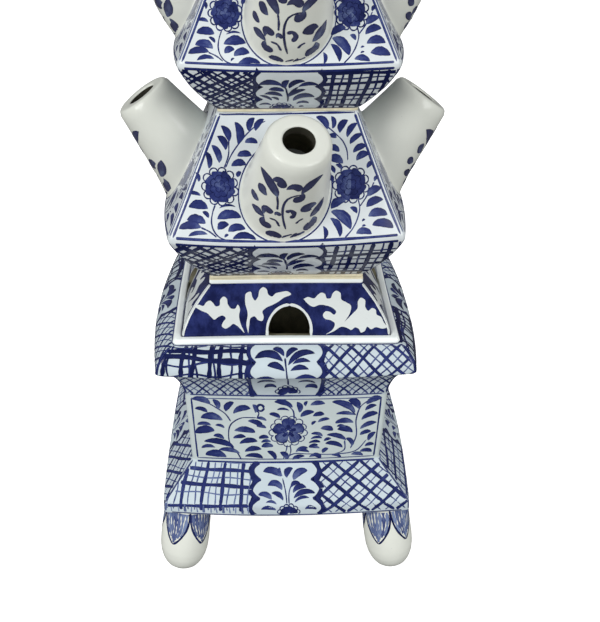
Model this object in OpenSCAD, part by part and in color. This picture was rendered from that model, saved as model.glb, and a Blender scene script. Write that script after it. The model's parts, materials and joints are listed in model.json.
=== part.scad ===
// Stacked square tulipiere in painted tin-glazed earthenware.
// A footed base carries three lift-off tiers, each with four flower spouts, and a finial.
// Millimetres, Z up, front is -Y, the feet stand on Z = 0.

/* [Base] */
// Height of the feet, ground to the underside of the plinth
foot_height = 60; // [50:1:75]
// Largest radius of a foot
foot_radius = 20.5; // [16:0.5:24]
// Radius of the flat patch a foot stands on
foot_patch = 12; // [8:0.5:16]
// Radius of a foot where it meets the plinth
foot_neck = 17; // [12:0.5:22]
// Distance of a foot's middle from the plinth's lip
foot_inset = 18.5; // [14:0.5:26]
// Outward lean of a foot, degrees
foot_lean = 7; // [0:0.5:9]
// Width across the plinth lip
plinth_width = 199; // [180:1:230]
// Height of the upright plinth lip
lip_height = 9.8; // [6:0.2:16]
// Height of the sloping part of the plinth
slope_height = 26.2; // [18:0.2:36]
// How far the middle of each plinth side bows out
plinth_bow = 5.5; // [2:0.5:10]
// Thickness of the slab that closes the base below
slab_thickness = 6; // [4:0.5:10]
// Width of the pedestal where it stands on the plinth
pedestal_foot_width = 152.4; // [130:0.2:170]
// Width of the pedestal under the tray
pedestal_top_width = 158.4; // [140:0.2:172]
// Height of the pedestal
pedestal_height = 64; // [40:1:100]
// How far the middle of each pedestal side bows out
pedestal_bow = 3.5; // [1:0.5:6]

/* [Tray and cover] */
// Width across the tray at its widest
tray_width = 196; // [176:1:220]
// Height of the hollow curve under the tray
cove_height = 30; // [20:1:40]
// Height of the rounded face of the tray
shoulder_height = 20; // [14:0.5:26]
// How far the middle of each tray side bows out
tray_bow = 7; // [2:0.5:10]
// Outer width of the white rim
rim_width = 170.4; // [160:0.2:176]
// Breadth of the white rim, seen from above
rim_breadth = 6; // [4:0.2:9]
// Height of the white rim over the tray's shoulder
rim_rise = 3.4; // [2:0.2:6]
// How deep the cover is let into the rim
cover_seat = 5; // [3:0.2:8]
// Breadth of the ledge that carries the cover
ledge_breadth = 7; // [5:0.5:10]
// Height of the cover's slopes
cover_height = 34.5; // [24:0.5:48]
// Rounding of the cover's slopes: 1 is straight, more is fuller
cover_fullness = 1.7; // [1:0.05:2]
// Height of the upright collar on the cover
collar_height = 4.6; // [3:0.2:8]
// Width of the arched opening in each cover slope
arch_width = 30; // [20:0.5:36]
// Height of the arched opening
arch_height = 21.2; // [18.2:0.2:24]

/* [Tiers] */
// Width across the foot of the first tier
foot_width = 115.6; // [100:0.2:130]
// Width across the widest edge of the first tier
tier_width = 169.2; // [150:0.2:190]
// Width across the top of the first tier
tier_top_width = 99.2; // [86:0.2:110]
// Height of the bare foot strip of the first tier
strip_height = 2.4; // [1.6:0.1:4]
// Height of the first bowl, foot strip to edge band
bowl_height = 39.4; // [30:0.2:50]
// Height of the edge band
edge_height = 3.8; // [2.4:0.2:6]
// Height of the first roof, edge band to top
roof_height = 80.6; // [65:0.2:95]
// How far the middle of each widest edge bows out
tier_bow = 9; // [4:0.5:14]
// Swelling of the bowl's side
bowl_swell = 2.6; // [0:0.1:4]
// Size of each tier against the one below
tier_ratio = 0.877; // [0.82:0.001:0.92]
// Breadth of the bare foot strip
strip_breadth = 7; // [5:0.2:9]
// Breadth of the ring around each mouth that the next piece stands on
mouth_ring = 10; // [8.5:0.1:12]
// Depth of the spigot that drops into the mouth below
spigot_depth = 8; // [5:0.5:12]
// Wall of the spigot
spigot_wall = 4.5; // [3:0.5:6]
// Gap between a spigot and its mouth on each side
spigot_gap = 1.2; // [0.6:0.1:2]

/* [Spouts] */
// Rise of a spout's axis over the horizon, degrees
spout_rise = 55; // [48:0.5:60]
// Sideways turn of the front and rear spouts, degrees
spout_turn = 12; // [0:0.5:16]
// Sideways turn of the left and right spouts, degrees
side_spout_turn = 3; // [0:0.5:16]
// Length of a first-tier spout's axis outside the roof
spout_length = 53; // [44:0.5:58]
// Outer radius of a first-tier spout at its end
spout_end_radius = 21.4; // [18:0.2:24]
// Outer radius of a first-tier spout where its axis meets the roof
spout_root_radius = 30.8; // [27:0.2:33]
// Rounding of the spout's end
spout_rounding = 3.5; // [2:0.25:5]
// Radius of the stem hole in a first-tier spout
stem_radius = 11; // [8:0.25:13]
// Depth of the stem hole before the spout widens inside
stem_depth = 8; // [6:0.5:10]
// Wall of a spout
spout_wall = 5.5; // [4.5:0.25:7]
// Where the spout's axis meets the roof, part of the roof's height
spout_place = 0.435; // [0.4:0.005:0.47]
// Size of each tier's spouts against those below
spout_ratio = 0.95; // [0.9:0.005:1]
// Radius of the hole through the first roof under each spout
passage_radius = 17; // [14:0.5:19]

/* [Finial] */
// Width across the finial's edge
finial_width = 98; // [88:1:110]
// Height of the finial's lower slope
finial_bowl_height = 22; // [14:0.5:30]
// Height of the finial's hipped top
finial_roof_height = 40; // [28:0.5:52]
// Width of the finial's top, under the knob
finial_top_width = 30; // [24:0.5:40]
// Radius of the knob
knob_radius = 15; // [11:0.25:18]
// Radius of the knob's neck
neck_radius = 8; // [6:0.25:10]
// Height of the knob's neck
neck_height = 7; // [4:0.25:10]

/* [Walls] */
// Wall of the base and the tiers
wall = 5; // [4:0.25:6]
// Wall of the finial
finial_wall = 4; // [3:0.25:5]

/* [Hidden] */
sides = ["front", "right", "rear", "left"];
tiers = 3;
base_nodes = [
    "foot_front_left", "foot_front_right", "foot_rear_left", "foot_rear_right",
    "bottom_slab", "plinth_skirt", "pedestal", "tray", "cover"
];
tier_nodes = [
    for (k = [1:tiers]) each concat(
        [str("tier_", k, "_foot_strip"), str("tier_", k, "_floor")],
        [for (part = ["bowl", "roof", "spout"], side = sides) str("tier_", k, "_", part, "_", side)]
    )
];
finial_nodes = ["finial_foot_strip", "finial_cap", "finial_knob"];
$fn = 96;
plan_steps = 8;

// Places and levels of the base
foot_place = plinth_width / 2 - foot_inset;
plinth_base = foot_height;
plinth_top = plinth_base + lip_height;
pedestal_base = plinth_top + slope_height;
tray_base = pedestal_base + pedestal_height;
shoulder_base = tray_base + cove_height;
rim_base = shoulder_base + shoulder_height;
rim_top = rim_base + rim_rise;
ledge_level = rim_top - cover_seat;
slope_base = rim_top - 1.5;
slope_top = slope_base + cover_height;
stack_base = slope_top + collar_height;
rim_inner = rim_width / 2 - rim_breadth;
cover_run = rim_inner - foot_width / 2;

// Sizes of one tier
function scale_of(k) = pow(tier_ratio, k - 1);
function spout_scale(k) = pow(spout_ratio, k - 1);
function wide_half(k) = tier_width / 2 * scale_of(k);
function top_half(k) = k == 0 ? foot_width / 2 : tier_top_width / 2 * scale_of(k);
function mouth_half(k) = top_half(k) - mouth_ring;
function foot_half(k) = top_half(k - 1);
function strip_top(k) = strip_height * scale_of(k);
function edge_low(k) = strip_top(k) + bowl_height * scale_of(k);
function edge_high(k) = edge_low(k) + edge_height * scale_of(k);
function tier_height(k) = edge_high(k) + roof_height * scale_of(k);
function bow_of(k) = tier_bow * scale_of(k);
function tier_level(k) = k == 1 ? stack_base : tier_level(k - 1) + tier_height(k - 1);
finial_level = tier_level(tiers + 1);

// Points along one side of a bowed square, from [half width, bow, level]
function bowed_side(p, side, count) = [
    for (i = [0:count - 1])
        let (u = 2 * i / plan_steps - 1, x = p[0] * u, y = -p[0] - p[1] * (1 - u * u))
        [x * cos(90 * side) - y * sin(90 * side), x * sin(90 * side) + y * cos(90 * side), p[2]]
];

// One horizontal ring of a bowed square
function bowed_ring(p) = [for (side = [0:3]) each bowed_side(p, side, plan_steps)];

// A wall of rings; a closed one comes back to its first ring, an open one is capped at both ends
module loft(profile, closed = false) {
    n = 4 * plan_steps;
    rows = len(profile);
    last = closed ? rows - 1 : rows - 2;
    walls = [
        for (r = [0:last], j = [0:n - 1])
            let (a = r * n + j, b = r * n + (j + 1) % n)
            let (d = ((r + 1) % rows) * n + j, c = ((r + 1) % rows) * n + (j + 1) % n)
            each [[a, d, c], [a, c, b]]
    ];
    under = rows * n;
    caps = closed ? [] : [
        for (j = [0:n - 1])
            let (k = (j + 1) % n, top = (rows - 1) * n)
            each [[under, j, k], [under + 1, top + k, top + j]]
    ];
    ends = closed ? [] : [[0, 0, profile[0][2]], [0, 0, profile[rows - 1][2]]];
    rings = [for (p = profile) each bowed_ring(p)];
    polyhedron(points = concat(rings, ends), faces = concat(walls, caps), convexity = 6);
}

// One side of a wall of rings, mitred at both ends, between matching outer and inner profiles
module slab(outer, inner, side) {
    n = plan_steps + 1;
    rows = len(outer);
    grid = [for (p = concat(outer, inner)) each bowed_side(p, side, n)];
    half = rows * n;
    shells = [
        for (r = [0:rows - 2], j = [0:n - 2])
            let (a = r * n + j, b = a + 1, d = a + n, c = d + 1)
            each [[a, d, c], [a, c, b], [half + a, half + c, half + d], [half + a, half + b, half + c]]
    ];
    rims = [
        for (j = [0:n - 2])
            let (a = j, b = j + 1, t = (rows - 1) * n + j)
            each [
                [a, b, half + b], [a, half + b, half + a],
                [t, half + t + 1, t + 1], [t, half + t, half + t + 1]
            ]
    ];
    ends = [
        for (r = [0:rows - 2])
            let (a = r * n, d = a + n, e = a + n - 1, f = d + n - 1)
            each [
                [a, half + a, half + d], [a, half + d, d],
                [e, half + f, half + e], [e, f, half + f]
            ]
    ];
    polyhedron(points = grid, faces = concat(shells, rims, ends), convexity = 4);
}

// A flat square frame
module frame(outer_half, inner_half, height) {
    difference() {
        translate([-outer_half, -outer_half, 0]) cube([2 * outer_half, 2 * outer_half, height]);
        translate([-inner_half, -inner_half, -1]) cube([2 * inner_half, 2 * inner_half, height + 2]);
    }
}

// Egg-shaped foot that leans outward, flat where it stands and where it meets the slab
module foot(x, y) {
    profile = [
        [0, -8], [foot_patch, -8], [foot_patch, 0],
        [foot_radius * 0.82, foot_height * 0.06], [foot_radius * 0.95, foot_height * 0.17],
        [foot_radius, foot_height * 0.32], [foot_radius * 0.985, foot_height * 0.5],
        [foot_radius * 0.94, foot_height * 0.7], [foot_neck, foot_height],
        [foot_neck, foot_height + 8], [0, foot_height + 8]
    ];
    color("ivory") intersection() {
        translate([x * foot_place, y * foot_place, foot_height])
            rotate([y * foot_lean, -x * foot_lean, 0])
            translate([0, 0, -foot_height])
            rotate_extrude() polygon(profile);
        translate([-plinth_width, -plinth_width, 0]) cube([2 * plinth_width, 2 * plinth_width, foot_height]);
    }
}

module bottom_slab() {
    inner = plinth_width / 2 - wall - 1;
    color("ivory") loft([
        [inner, plinth_bow, plinth_base],
        [inner, plinth_bow, plinth_base + slab_thickness]
    ]);
}

module plinth_skirt() {
    lip = plinth_width / 2;
    inner = lip - wall - 1;
    top = pedestal_foot_width / 2;
    color("lightsteelblue") loft([
        [lip, plinth_bow, plinth_base],
        [lip - 0.4, plinth_bow, plinth_top],
        [top, pedestal_bow, pedestal_base],
        [top - wall, pedestal_bow, pedestal_base],
        [inner, plinth_bow, plinth_top - 1.5],
        [inner, plinth_bow, plinth_base]
    ], closed = true);
}

module pedestal() {
    low = pedestal_foot_width / 2;
    high = pedestal_top_width / 2;
    color("aliceblue") loft([
        [low, pedestal_bow, pedestal_base],
        [high, pedestal_bow, tray_base],
        [high - wall, pedestal_bow, tray_base],
        [low - wall, pedestal_bow, pedestal_base]
    ], closed = true);
}

module tray() {
    low = pedestal_top_width / 2;
    wide = tray_width / 2;
    rim = rim_width / 2;
    overhang = wide - low;
    shelf = wide - rim;
    bow_step = tray_bow - pedestal_bow;
    cove = [
        for (t = [0:0.2:1])
            [low + overhang * (1 - cos(90 * t)), pedestal_bow + bow_step * t, tray_base + cove_height * sin(90 * t)]
    ];
    shoulder = [
        for (t = [0.2:0.2:0.8])
            [rim + shelf * pow(cos(90 * t), 0.6), tray_bow * cos(90 * t), shoulder_base + shoulder_height * pow(t, 0.9)]
    ];
    color("lightsteelblue") loft(concat(cove, shoulder, [
        [rim, 0, rim_base],
        [rim_inner, 0, rim_top],
        [rim_inner, 0, ledge_level],
        [rim_inner - ledge_breadth, 0, ledge_level],
        [low - wall, pedestal_bow, tray_base + wall],
        [low - wall, pedestal_bow, tray_base]
    ]), closed = true);
}

// Half width of the cover, its level and the steepness of its wall, at a part of its height
function cover_half(t) = rim_inner - cover_run * pow(t, cover_fullness);
function cover_level(t) = slope_base + cover_height * t;
function cover_steepness(t) = atan2(cover_height, cover_run * cover_fullness * pow(t, cover_fullness - 1));

module cover() {
    collar = foot_width / 2;
    outer = [for (t = [0:0.2:1]) [cover_half(t), 0, cover_level(t)]];
    inner = [
        for (t = [1:-0.2:0.1])
            let (angle = cover_steepness(t))
            [cover_half(t) - wall * sin(angle), 0, cover_level(t) - wall * cos(angle)]
    ];
    color("royalblue") difference() {
        loft(concat([[rim_inner, 0, ledge_level]], outer, [
            [collar, 0, stack_base],
            [mouth_half(0), 0, stack_base],
            [mouth_half(0), 0, inner[0][2]]
        ], inner, [
            [rim_inner - ledge_breadth, 0, ledge_level]
        ]), closed = true);
        for (side = [0:3]) rotate([0, 0, 90 * side])
            translate([0, 1 - rim_inner + cover_run + wall, slope_base + 1.5])
            rotate([90, 0, 0])
            linear_extrude(cover_run + wall + 2) arch_outline();
    }
}

// Half-round arch standing on the X axis
module arch_outline() {
    straight = arch_height - arch_width / 2;
    translate([-arch_width / 2, 0]) square([arch_width, straight]);
    translate([0, straight]) circle(r = arch_width / 2);
}

module foot_strip(k) {
    color("burlywood") translate([0, 0, tier_level(k)])
        frame(foot_half(k), foot_half(k) - strip_breadth, strip_top(k));
}

// Floor of a tier with the spigot below
module tier_floor(k) {
    inner = foot_half(k) - wall - 1;
    plug = mouth_half(k - 1) - spigot_gap;
    level = tier_level(k);
    base = level + strip_top(k);
    seat = foot_half(k) - strip_breadth;
    color("lightsteelblue") loft([
        [plug - spigot_wall, 0, base],
        [plug - spigot_wall, 0, level - spigot_depth],
        [plug, 0, level - spigot_depth],
        [plug, 0, level],
        [seat, 0, level],
        [seat, 0, base],
        [inner, 0, base],
        [inner, 0, base + wall]
    ]);
}

// One slab of a bowl, foot to edge band
module bowl(k, side) {
    low = foot_half(k);
    wide = wide_half(k);
    base = tier_level(k) + strip_top(k);
    rise = edge_low(k) - strip_top(k);
    edge_top = tier_level(k) + edge_high(k);
    function flank(t, inward) = [
        low + (wide - low) * t + 4 * bowl_swell * t * (1 - t) - inward, bow_of(k) * t, base + rise * t
    ];
    outer = [
        flank(0, 0), flank(wall / rise, 0), flank(0.4, 0), flank(0.7, 0), flank(1, 0),
        [wide, bow_of(k), edge_top]
    ];
    inner = [
        [low - wall - 1, 0, base], [low - wall - 1, 0, base + wall],
        flank(0.4, wall + 1), flank(0.7, wall + 1), flank(1, wall + 1),
        [wide - wall - 1, bow_of(k), edge_top]
    ];
    color("lightsteelblue") slab(outer, inner, side);
}

// Outer profile of a roof, edge band to mouth
function roof_profile(k) = [
    for (t = [0, 1 - 1.5 * wall / (roof_height * scale_of(k)), 1 - 0.5 * wall / (roof_height * scale_of(k)), 1])
        [
            wide_half(k) + (top_half(k) - wide_half(k)) * t,
            bow_of(k) * (1 - t),
            tier_level(k) + edge_high(k) + roof_height * scale_of(k) * t
        ]
];

// One slab of a roof, with its part of the mouth and a hole under the spout
module roof(k, side) {
    high = tier_level(k) + tier_height(k);
    inner = [
        [wide_half(k) - wall - 1, bow_of(k), tier_level(k) + edge_high(k)],
        [top_half(k) - 0.6 * wall, 0, high - wall],
        [mouth_half(k), 0, high - wall],
        [mouth_half(k), 0, high]
    ];
    color("aliceblue") difference() {
        slab(roof_profile(k), inner, side);
        spout_frame(k, side) translate([0, 0, -spout_length])
            cylinder(r = passage_radius * spout_scale(k), h = 1.6 * spout_length);
    }
}

// Outer form of a tier, used to fit the spouts to the roof
module tier_form(k) {
    low = tier_level(k) + edge_low(k) - bowl_height / 2;
    loft(concat([[wide_half(k), bow_of(k), low]], roof_profile(k)));
}

// Places a spout's axis on the middle of a roof side, its own Z pointing out
module spout_frame(k, side) {
    half = wide_half(k) + (top_half(k) - wide_half(k)) * spout_place + bow_of(k) * (1 - spout_place);
    level = tier_level(k) + edge_high(k) + (tier_height(k) - edge_high(k)) * spout_place;
    rotate([0, 0, 90 * side]) translate([0, -half, level])
        rotate([0, 0, side % 2 == 0 ? spout_turn : side_spout_turn]) rotate([90 - spout_rise, 0, 0])
        children();
}

// Hollow conical spout with a rounded end, cut to sit on the roof
module spout(k, side) {
    size = spout_scale(k);
    length = spout_length * size;
    end = spout_end_radius * size;
    flare = (spout_root_radius - spout_end_radius) / spout_length;
    depth = stem_depth * size;
    root = -22 * size;
    round = spout_rounding * size;
    arc = [for (a = [0:22.5:90]) [end - round + round * cos(a), length - round + round * sin(a)]];
    color("ivory") difference() {
        spout_frame(k, side) rotate_extrude()
            polygon(concat([[0, root], [end + flare * (length - root), root]], arc, [[0, length]]));
        tier_form(k);
        spout_frame(k, side) translate([0, 0, root - 1])
            cylinder(r1 = end + flare * (length - root + 1) - spout_wall,
                     r2 = end + flare * depth - spout_wall, h = length - depth - root + 1);
        spout_frame(k, side) translate([0, 0, length - depth - 1])
            cylinder(r = stem_radius * size, h = depth + 2);
    }
}

module finial_foot_strip() {
    half = top_half(tiers);
    color("burlywood") translate([0, 0, finial_level])
        frame(half, half - strip_breadth, strip_top(tiers));
}

module finial_cap() {
    half = top_half(tiers);
    wide = finial_width / 2;
    top = finial_top_width / 2;
    plug = mouth_half(tiers) - spigot_gap;
    base = finial_level + strip_top(tiers);
    edge = base + finial_bowl_height;
    bow = tier_bow * finial_width / tier_width;
    color("lightsteelblue") loft([
        [top - finial_wall, 0, edge + finial_roof_height - 2 * finial_wall],
        [wide - finial_wall - 2, bow, edge],
        [plug - spigot_wall, 0, base + finial_wall],
        [plug - spigot_wall, 0, finial_level - spigot_depth],
        [plug, 0, finial_level - spigot_depth],
        [plug, 0, finial_level],
        [half - strip_breadth, 0, finial_level],
        [half - strip_breadth, 0, base],
        [half, 0, base],
        [wide, bow, edge],
        [wide, bow, edge + edge_height * scale_of(tiers)],
        [top, 0, edge + finial_roof_height]
    ]);
}

module finial_knob() {
    base = finial_level + strip_top(tiers) + finial_bowl_height + finial_roof_height;
    middle = neck_height + knob_radius * cos(asin(neck_radius / knob_radius));
    color("ivory") translate([0, 0, base]) rotate_extrude() difference() {
        union() {
            square([neck_radius, middle]);
            translate([0, middle]) circle(r = knob_radius);
        }
        translate([-2 * knob_radius, -1]) square([2 * knob_radius, middle + 2 * knob_radius]);
    }
}

foot(-1, -1);  // foot_front_left
foot(1, -1);  // foot_front_right
foot(-1, 1);  // foot_rear_left
foot(1, 1);  // foot_rear_right
bottom_slab();
plinth_skirt();
pedestal();
tray();
cover();
for (k = [1:tiers]) {
    foot_strip(k);
    tier_floor(k);
    for (side = [0:3]) {
        bowl(k, side);
        roof(k, side);
        spout(k, side);
    }
}
finial_foot_strip();
finial_cap();
finial_knob();
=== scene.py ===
"""Looks of a stacked tulip vase in painted tin glaze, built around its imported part.

Shapes are worked out in millimetres and put into meshes in metres, in the part's own frame:
Z up, front at -Y, the feet on Z = 0. Walls and brushwork share the same surface formulas,
so every stroke lies on the wall that it was drawn for.
"""

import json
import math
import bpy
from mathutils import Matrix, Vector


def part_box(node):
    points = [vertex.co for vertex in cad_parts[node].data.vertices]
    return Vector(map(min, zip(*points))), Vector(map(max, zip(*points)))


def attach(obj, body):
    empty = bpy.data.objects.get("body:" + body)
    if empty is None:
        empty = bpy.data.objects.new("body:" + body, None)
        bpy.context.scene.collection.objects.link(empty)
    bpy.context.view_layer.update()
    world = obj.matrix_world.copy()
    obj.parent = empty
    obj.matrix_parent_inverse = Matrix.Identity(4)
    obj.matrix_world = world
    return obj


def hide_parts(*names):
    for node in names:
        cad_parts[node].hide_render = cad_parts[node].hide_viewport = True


bl_info = {
    "name": "Painted Tulip Vase",
    "version": (1, 0, 0),
    "blender": (4, 5, 0),
    "location": "View3D > Sidebar > Tulip Vase",
    "description": "Builds the glazed walls, spouts and brushwork of a stacked tulip vase on its packed part",
    "category": "Add Mesh",
}

import bpy
import numpy as np
from mathutils.geometry import delaunay_2d_cdt

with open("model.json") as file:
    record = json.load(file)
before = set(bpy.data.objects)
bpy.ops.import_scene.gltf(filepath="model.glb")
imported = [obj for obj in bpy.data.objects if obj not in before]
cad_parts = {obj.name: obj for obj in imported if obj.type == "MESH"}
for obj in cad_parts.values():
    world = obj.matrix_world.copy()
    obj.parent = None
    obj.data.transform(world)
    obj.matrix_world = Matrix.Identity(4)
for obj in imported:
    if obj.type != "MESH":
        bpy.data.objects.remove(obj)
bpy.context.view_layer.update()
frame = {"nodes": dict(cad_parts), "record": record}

SIDES = ("front", "right", "rear", "left")
TIERS = (1, 2, 3)

# Points along the flat of a side, round half an upright corner and round a softened edge
FLAT, ROUND, SOFT = 36, 4, 5

# Points along a short stroke and along a long one
SHORT, LONG = 13, 33

# Angle from which an edge stays sharp
SHARP = math.radians(40)

# First seed of each kind of brushwork
SEEDS = {"plinth": 11, "pedestal": 12, "tray": 13, "cover": 21, "foot": 40, "tier": 100, "sprigs": 110,
         "finial": 130, "knob": 131}

# Range of the waves' chance phases: a full turn, rounded
PHASE = 6.3

# Heights of a film's middle and edges over the glaze, and what its turn and its layer add
FILM_OVER, FILM_UNDER = 0.05, -0.015
FILM_TURNS, TURN_RISE, LAYER_RISE = 40, 0.012, 0.014

# Roughness of the glaze and of bare clay
GLAZE_GLOSS, CLAY_GLOSS = 0.16, 0.75

# Half widths, bows and rises of the base, in millimetres like all that follows
LIP_HALF, PEDESTAL_FOOT, PEDESTAL_TOP, BELLY_HALF, RIM_HALF = 99.5, 76.2, 79.2, 98.0, 85.2
WAIST_BOW, BELLY_BOW = 3.5, 7.0
LIP_RISE, COVE_RISE, SHOULDER_RISE, RIM_RISE = 9.8, 30, 20, 4.4

# How far the cover's arches reach below its slopes
SILL = 1.5

# Half width of the tier that the designs are drawn for, and the height of its edge band
TIER_HALF, TIER_BAND = 84.6, 3.8

# Extra lengths of the first tier's spouts, and how much a spout spreads inside the roof, there and above
FIRST_EXTRAS, FIRST_SKIRT, UPPER_SKIRT = (0, 0, 0, 3), 1.1, 0.15

# Mean radius that a spout's sprig is drawn for, and its turn in degrees on the side spouts
SPRIG_RADIUS, SPRIG_TURN = 26, 14

# Breadth of the bare strips and of the seat under the cover, and the gap round a spigot
STRIP_BREADTH, SPIGOT_GAP = 7, 1.2

# Half widths at the finial's edge and top, the rise to its edge and the height of its band
FINIAL_HALF, FINIAL_TOP, FINIAL_RISE, FINIAL_BAND = 49.0, 15.0, 22, 2.9

# Half width of the floor
FLOOR_HALF = 7000

# Place of the right lamp, what both lamps face and how wide they are, in metres
LAMP_PLACE, LAMP_AIM, LAMP_WIDE = (1.2, -1.1, 0.95), (0, 0, 0.3), 0.9


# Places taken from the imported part

def extent(node):
    """Lowest and highest corner of a CAD node, in millimetres."""
    low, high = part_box(node)
    return np.array(low) * 1000, np.array(high) * 1000


def mount(name):
    """Place in millimetres, axis and measures of one of the record's mounts."""
    found = next(m for m in frame["record"]["mounts"] if m["name"] == name)
    return np.array(found["pos_m"]) * 1000, np.array(found["axis"]), found["dims"]


# Surfaces

# Levels in millimetres with the walls' sideways lean, twist in radians and flattening of left and right
LEAN = (
    (60, 0.8), (96, 0.2), (160, 0), (190, -0.8), (213, -0.4), (250.5, 0.5), (251, 0), (300, -0.9), (376.7, 0),
    (377.2, 1.6), (420, 2.4), (700, 2.6),
)
TWIST = ((160, -0.006), (213, 0), (250.5, 0), (251, 0.015), (376.7, 0.015), (377.2, -0.012))
FLATNESS = ((55, 0), (60, 2.8), (96, 1.5), (160, 0), (251, 0), (315, 2.0), (377, 0))


def hand_made(p, own_top=math.inf):
    """Moves points as hand-built walls stray.

    Slow sine waves of a few tenths of a millimetre, a sideways lean, a small twist round the axis that
    differs from piece to piece, and left and right sides that are flatter than the front. The upward part
    fades out towards the ground, so that the feet stand flat. A spout that rises past its own tier gives
    that tier's top level, and above it leans and twists as it does there.
    """
    x, y, z = p[..., 0], p[..., 1], p[..., 2]
    level = np.minimum(z, own_top)
    lean, twist, flat = (np.interp(level, *np.transpose(table)) for table in (LEAN, TWIST, FLATNESS))
    dx = lean - twist * y + 0.30 * np.sin(y / 29 + z / 43) + 0.25 * np.sin(z / 21 + x / 57 + 1)
    dx = dx - flat * np.tanh(x / 30) * np.maximum(1 - (y / 90) ** 2, 0)
    dy = twist * x + 0.30 * np.sin(x / 31 - z / 37 + 2) + 0.25 * np.sin(z / 24 + y / 51)
    dz = 0.35 * np.sin(x / 33 + y / 47 + 0.6) * np.cos(z / 60)
    return p + np.stack([dx, dy, dz * np.clip(z / 60, 0, 1)], axis=-1)


def turned(p, side):
    """Points of the front side carried round to another side, a quarter turn for each."""
    c, s = ((1, 0), (0, 1), (-1, 0), (0, -1))[side]
    return np.stack([c * p[..., 0] - s * p[..., 1], s * p[..., 0] + c * p[..., 1], p[..., 2]], axis=-1)


def spokes(turn, start, axis):
    """Directions round an axis at angles from a start: cos(turn) start + sin(turn) (axis x start)."""
    return np.cos(turn)[..., None] * start + np.sin(turn)[..., None] * np.cross(axis, start)


def wall_point(w, z, bow, r, a):
    """Point of the front side of a bowed square wall, at the distance a across.

    The wall runs straight at half width w up to the corner's rounding, then follows a circle of radius r to
    the corner's middle. The bow, largest in the middle of the side, is added along the plan normal.
    """
    reach = np.abs(a)
    turn = np.clip((reach - (w - r)) / np.maximum(r, 1e-6), 0, math.pi / 4)
    x = np.minimum(reach, w - r) + r * np.sin(turn)
    y = w - r + r * np.cos(turn)
    swell = bow * ((1 - (x / w) ** 2) * np.cos(turn) ** 2 + (1 - (y / w) ** 2) * np.sin(turn) ** 2)
    x = x + swell * np.sin(turn)
    y = y + swell * np.cos(turn)
    return np.stack([np.sign(a) * x, -y, z + 0 * a], axis=-1)


def soften(corners, step=5.0):
    """Profile through corners given as (half width, level, bow, plan rounding, softness).

    A corner with softness becomes a parabola that starts that far before it and ends that far after it,
    and stretches longer than the step are divided evenly.
    """
    c = np.asarray(corners, float)
    keys, soft = c[:, :4], c[:, 4]
    parts = [keys[:1]]
    for before, here, after, s in zip(keys, keys[1:], keys[2:], soft[1:]):
        if s <= 0:
            parts.append(here[None])
            continue
        p = here + (before - here) * min(s / np.hypot(*(here - before)[:2]), 0.48)
        q = here + (after - here) * min(s / np.hypot(*(here - after)[:2]), 0.48)
        t = np.linspace(0, 1, SOFT)[:, None]
        parts.append((1 - t) ** 2 * p + 2 * t * (1 - t) * here + t ** 2 * q)
    parts.append(keys[-1:])
    path = np.concatenate(parts)
    count = np.maximum(1, np.ceil(np.hypot(*np.diff(path[:, :2], axis=0).T) / step)).astype(int)
    index = np.repeat(np.arange(len(count)), count)
    part = np.concatenate([np.arange(n) / n for n in count])[:, None]
    return np.concatenate([path[index] * (1 - part) + path[index + 1] * part, path[-1:]])


def ring_faces(rows, n, closed):
    """Four-cornered faces between rings of n points, the last ring joined to the first in a closed form."""
    r = np.arange(rows if closed else rows - 1)[:, None]
    j = np.arange(n)[None, :]
    k = (j + 1) % n
    up = (r + 1) % rows
    return np.stack([r * n + j, r * n + k, up * n + k, up * n + j], axis=-1).reshape(-1, 4)


def wall_rings(rows):
    """Rings of a square wall from rows of (half width, level, bow, plan rounding).

    Each side has half a corner, its straight part and half a corner, and its last point belongs to the next.
    """
    w, z, bow, r = (rows[:, i:i + 1] for i in range(4))
    corner = np.arange(ROUND, 0, -1) / ROUND * math.pi / 4
    across = np.concatenate([
        -(w - r) - r * corner,
        (w - r) * np.linspace(-1, 1, FLAT + 1),
        (w - r) + r * corner[:0:-1],
    ], axis=1)
    front = wall_point(w, z, bow, r, across)
    return hand_made(np.concatenate([turned(front, s) for s in range(4)], axis=1))


def round_rings(profile, base, axis, start, count=64):
    """Rings of a turned form from a profile of (radius, distance along the axis).

    Every ring is a circle round the axis, its first point in the start direction; the radius and the distance
    may differ for each angle where the profile has a third index.
    """
    out = spokes(np.arange(count) / count * 2 * math.pi, start, axis)
    r, s = np.moveaxis(np.asarray(profile, float), 1, 0)
    r = r.reshape(len(r), -1, 1)
    s = s.reshape(len(s), -1, 1)
    return base + out[None] * r + axis * s


# Meshes

def new_object(name, points, faces, caps=(), finishes=(), groups=None):
    """Puts points in millimetres and their faces into a mesh object at the origin, shaded smooth."""
    mesh = bpy.data.meshes.new(name)
    flat = points.reshape(-1, 3) * 0.001
    mesh.from_pydata(flat.tolist(), [], faces.tolist() + [list(c) for c in caps])
    for finish in finishes:
        mesh.materials.append(finish)
    if groups is not None:
        index = np.zeros(len(mesh.polygons), np.int32)
        index[:len(groups)] = groups
        mesh.polygons.foreach_set("material_index", index)
    mesh.polygons.foreach_set("use_smooth", np.ones(len(mesh.polygons), bool))
    mesh.set_sharp_from_angle(angle=SHARP)
    if mesh.validate():
        raise RuntimeError(f"{name} has faces that do not hold")
    piece = bpy.data.objects.new(name, mesh)
    bpy.context.scene.collection.objects.link(piece)
    return piece


def form(name, rings, closed, finishes, groups=None):
    """Mesh object over rings of points, with its open ends closed by one face each."""
    rows, n = rings.shape[:2]
    faces = ring_faces(rows, n, closed)
    caps = [] if closed else [range(n - 1, -1, -1), range((rows - 1) * n, rows * n)]
    per_face = None if groups is None else np.repeat(np.asarray(groups), n)
    return new_object(name, rings, faces, caps, finishes, per_face)


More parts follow.
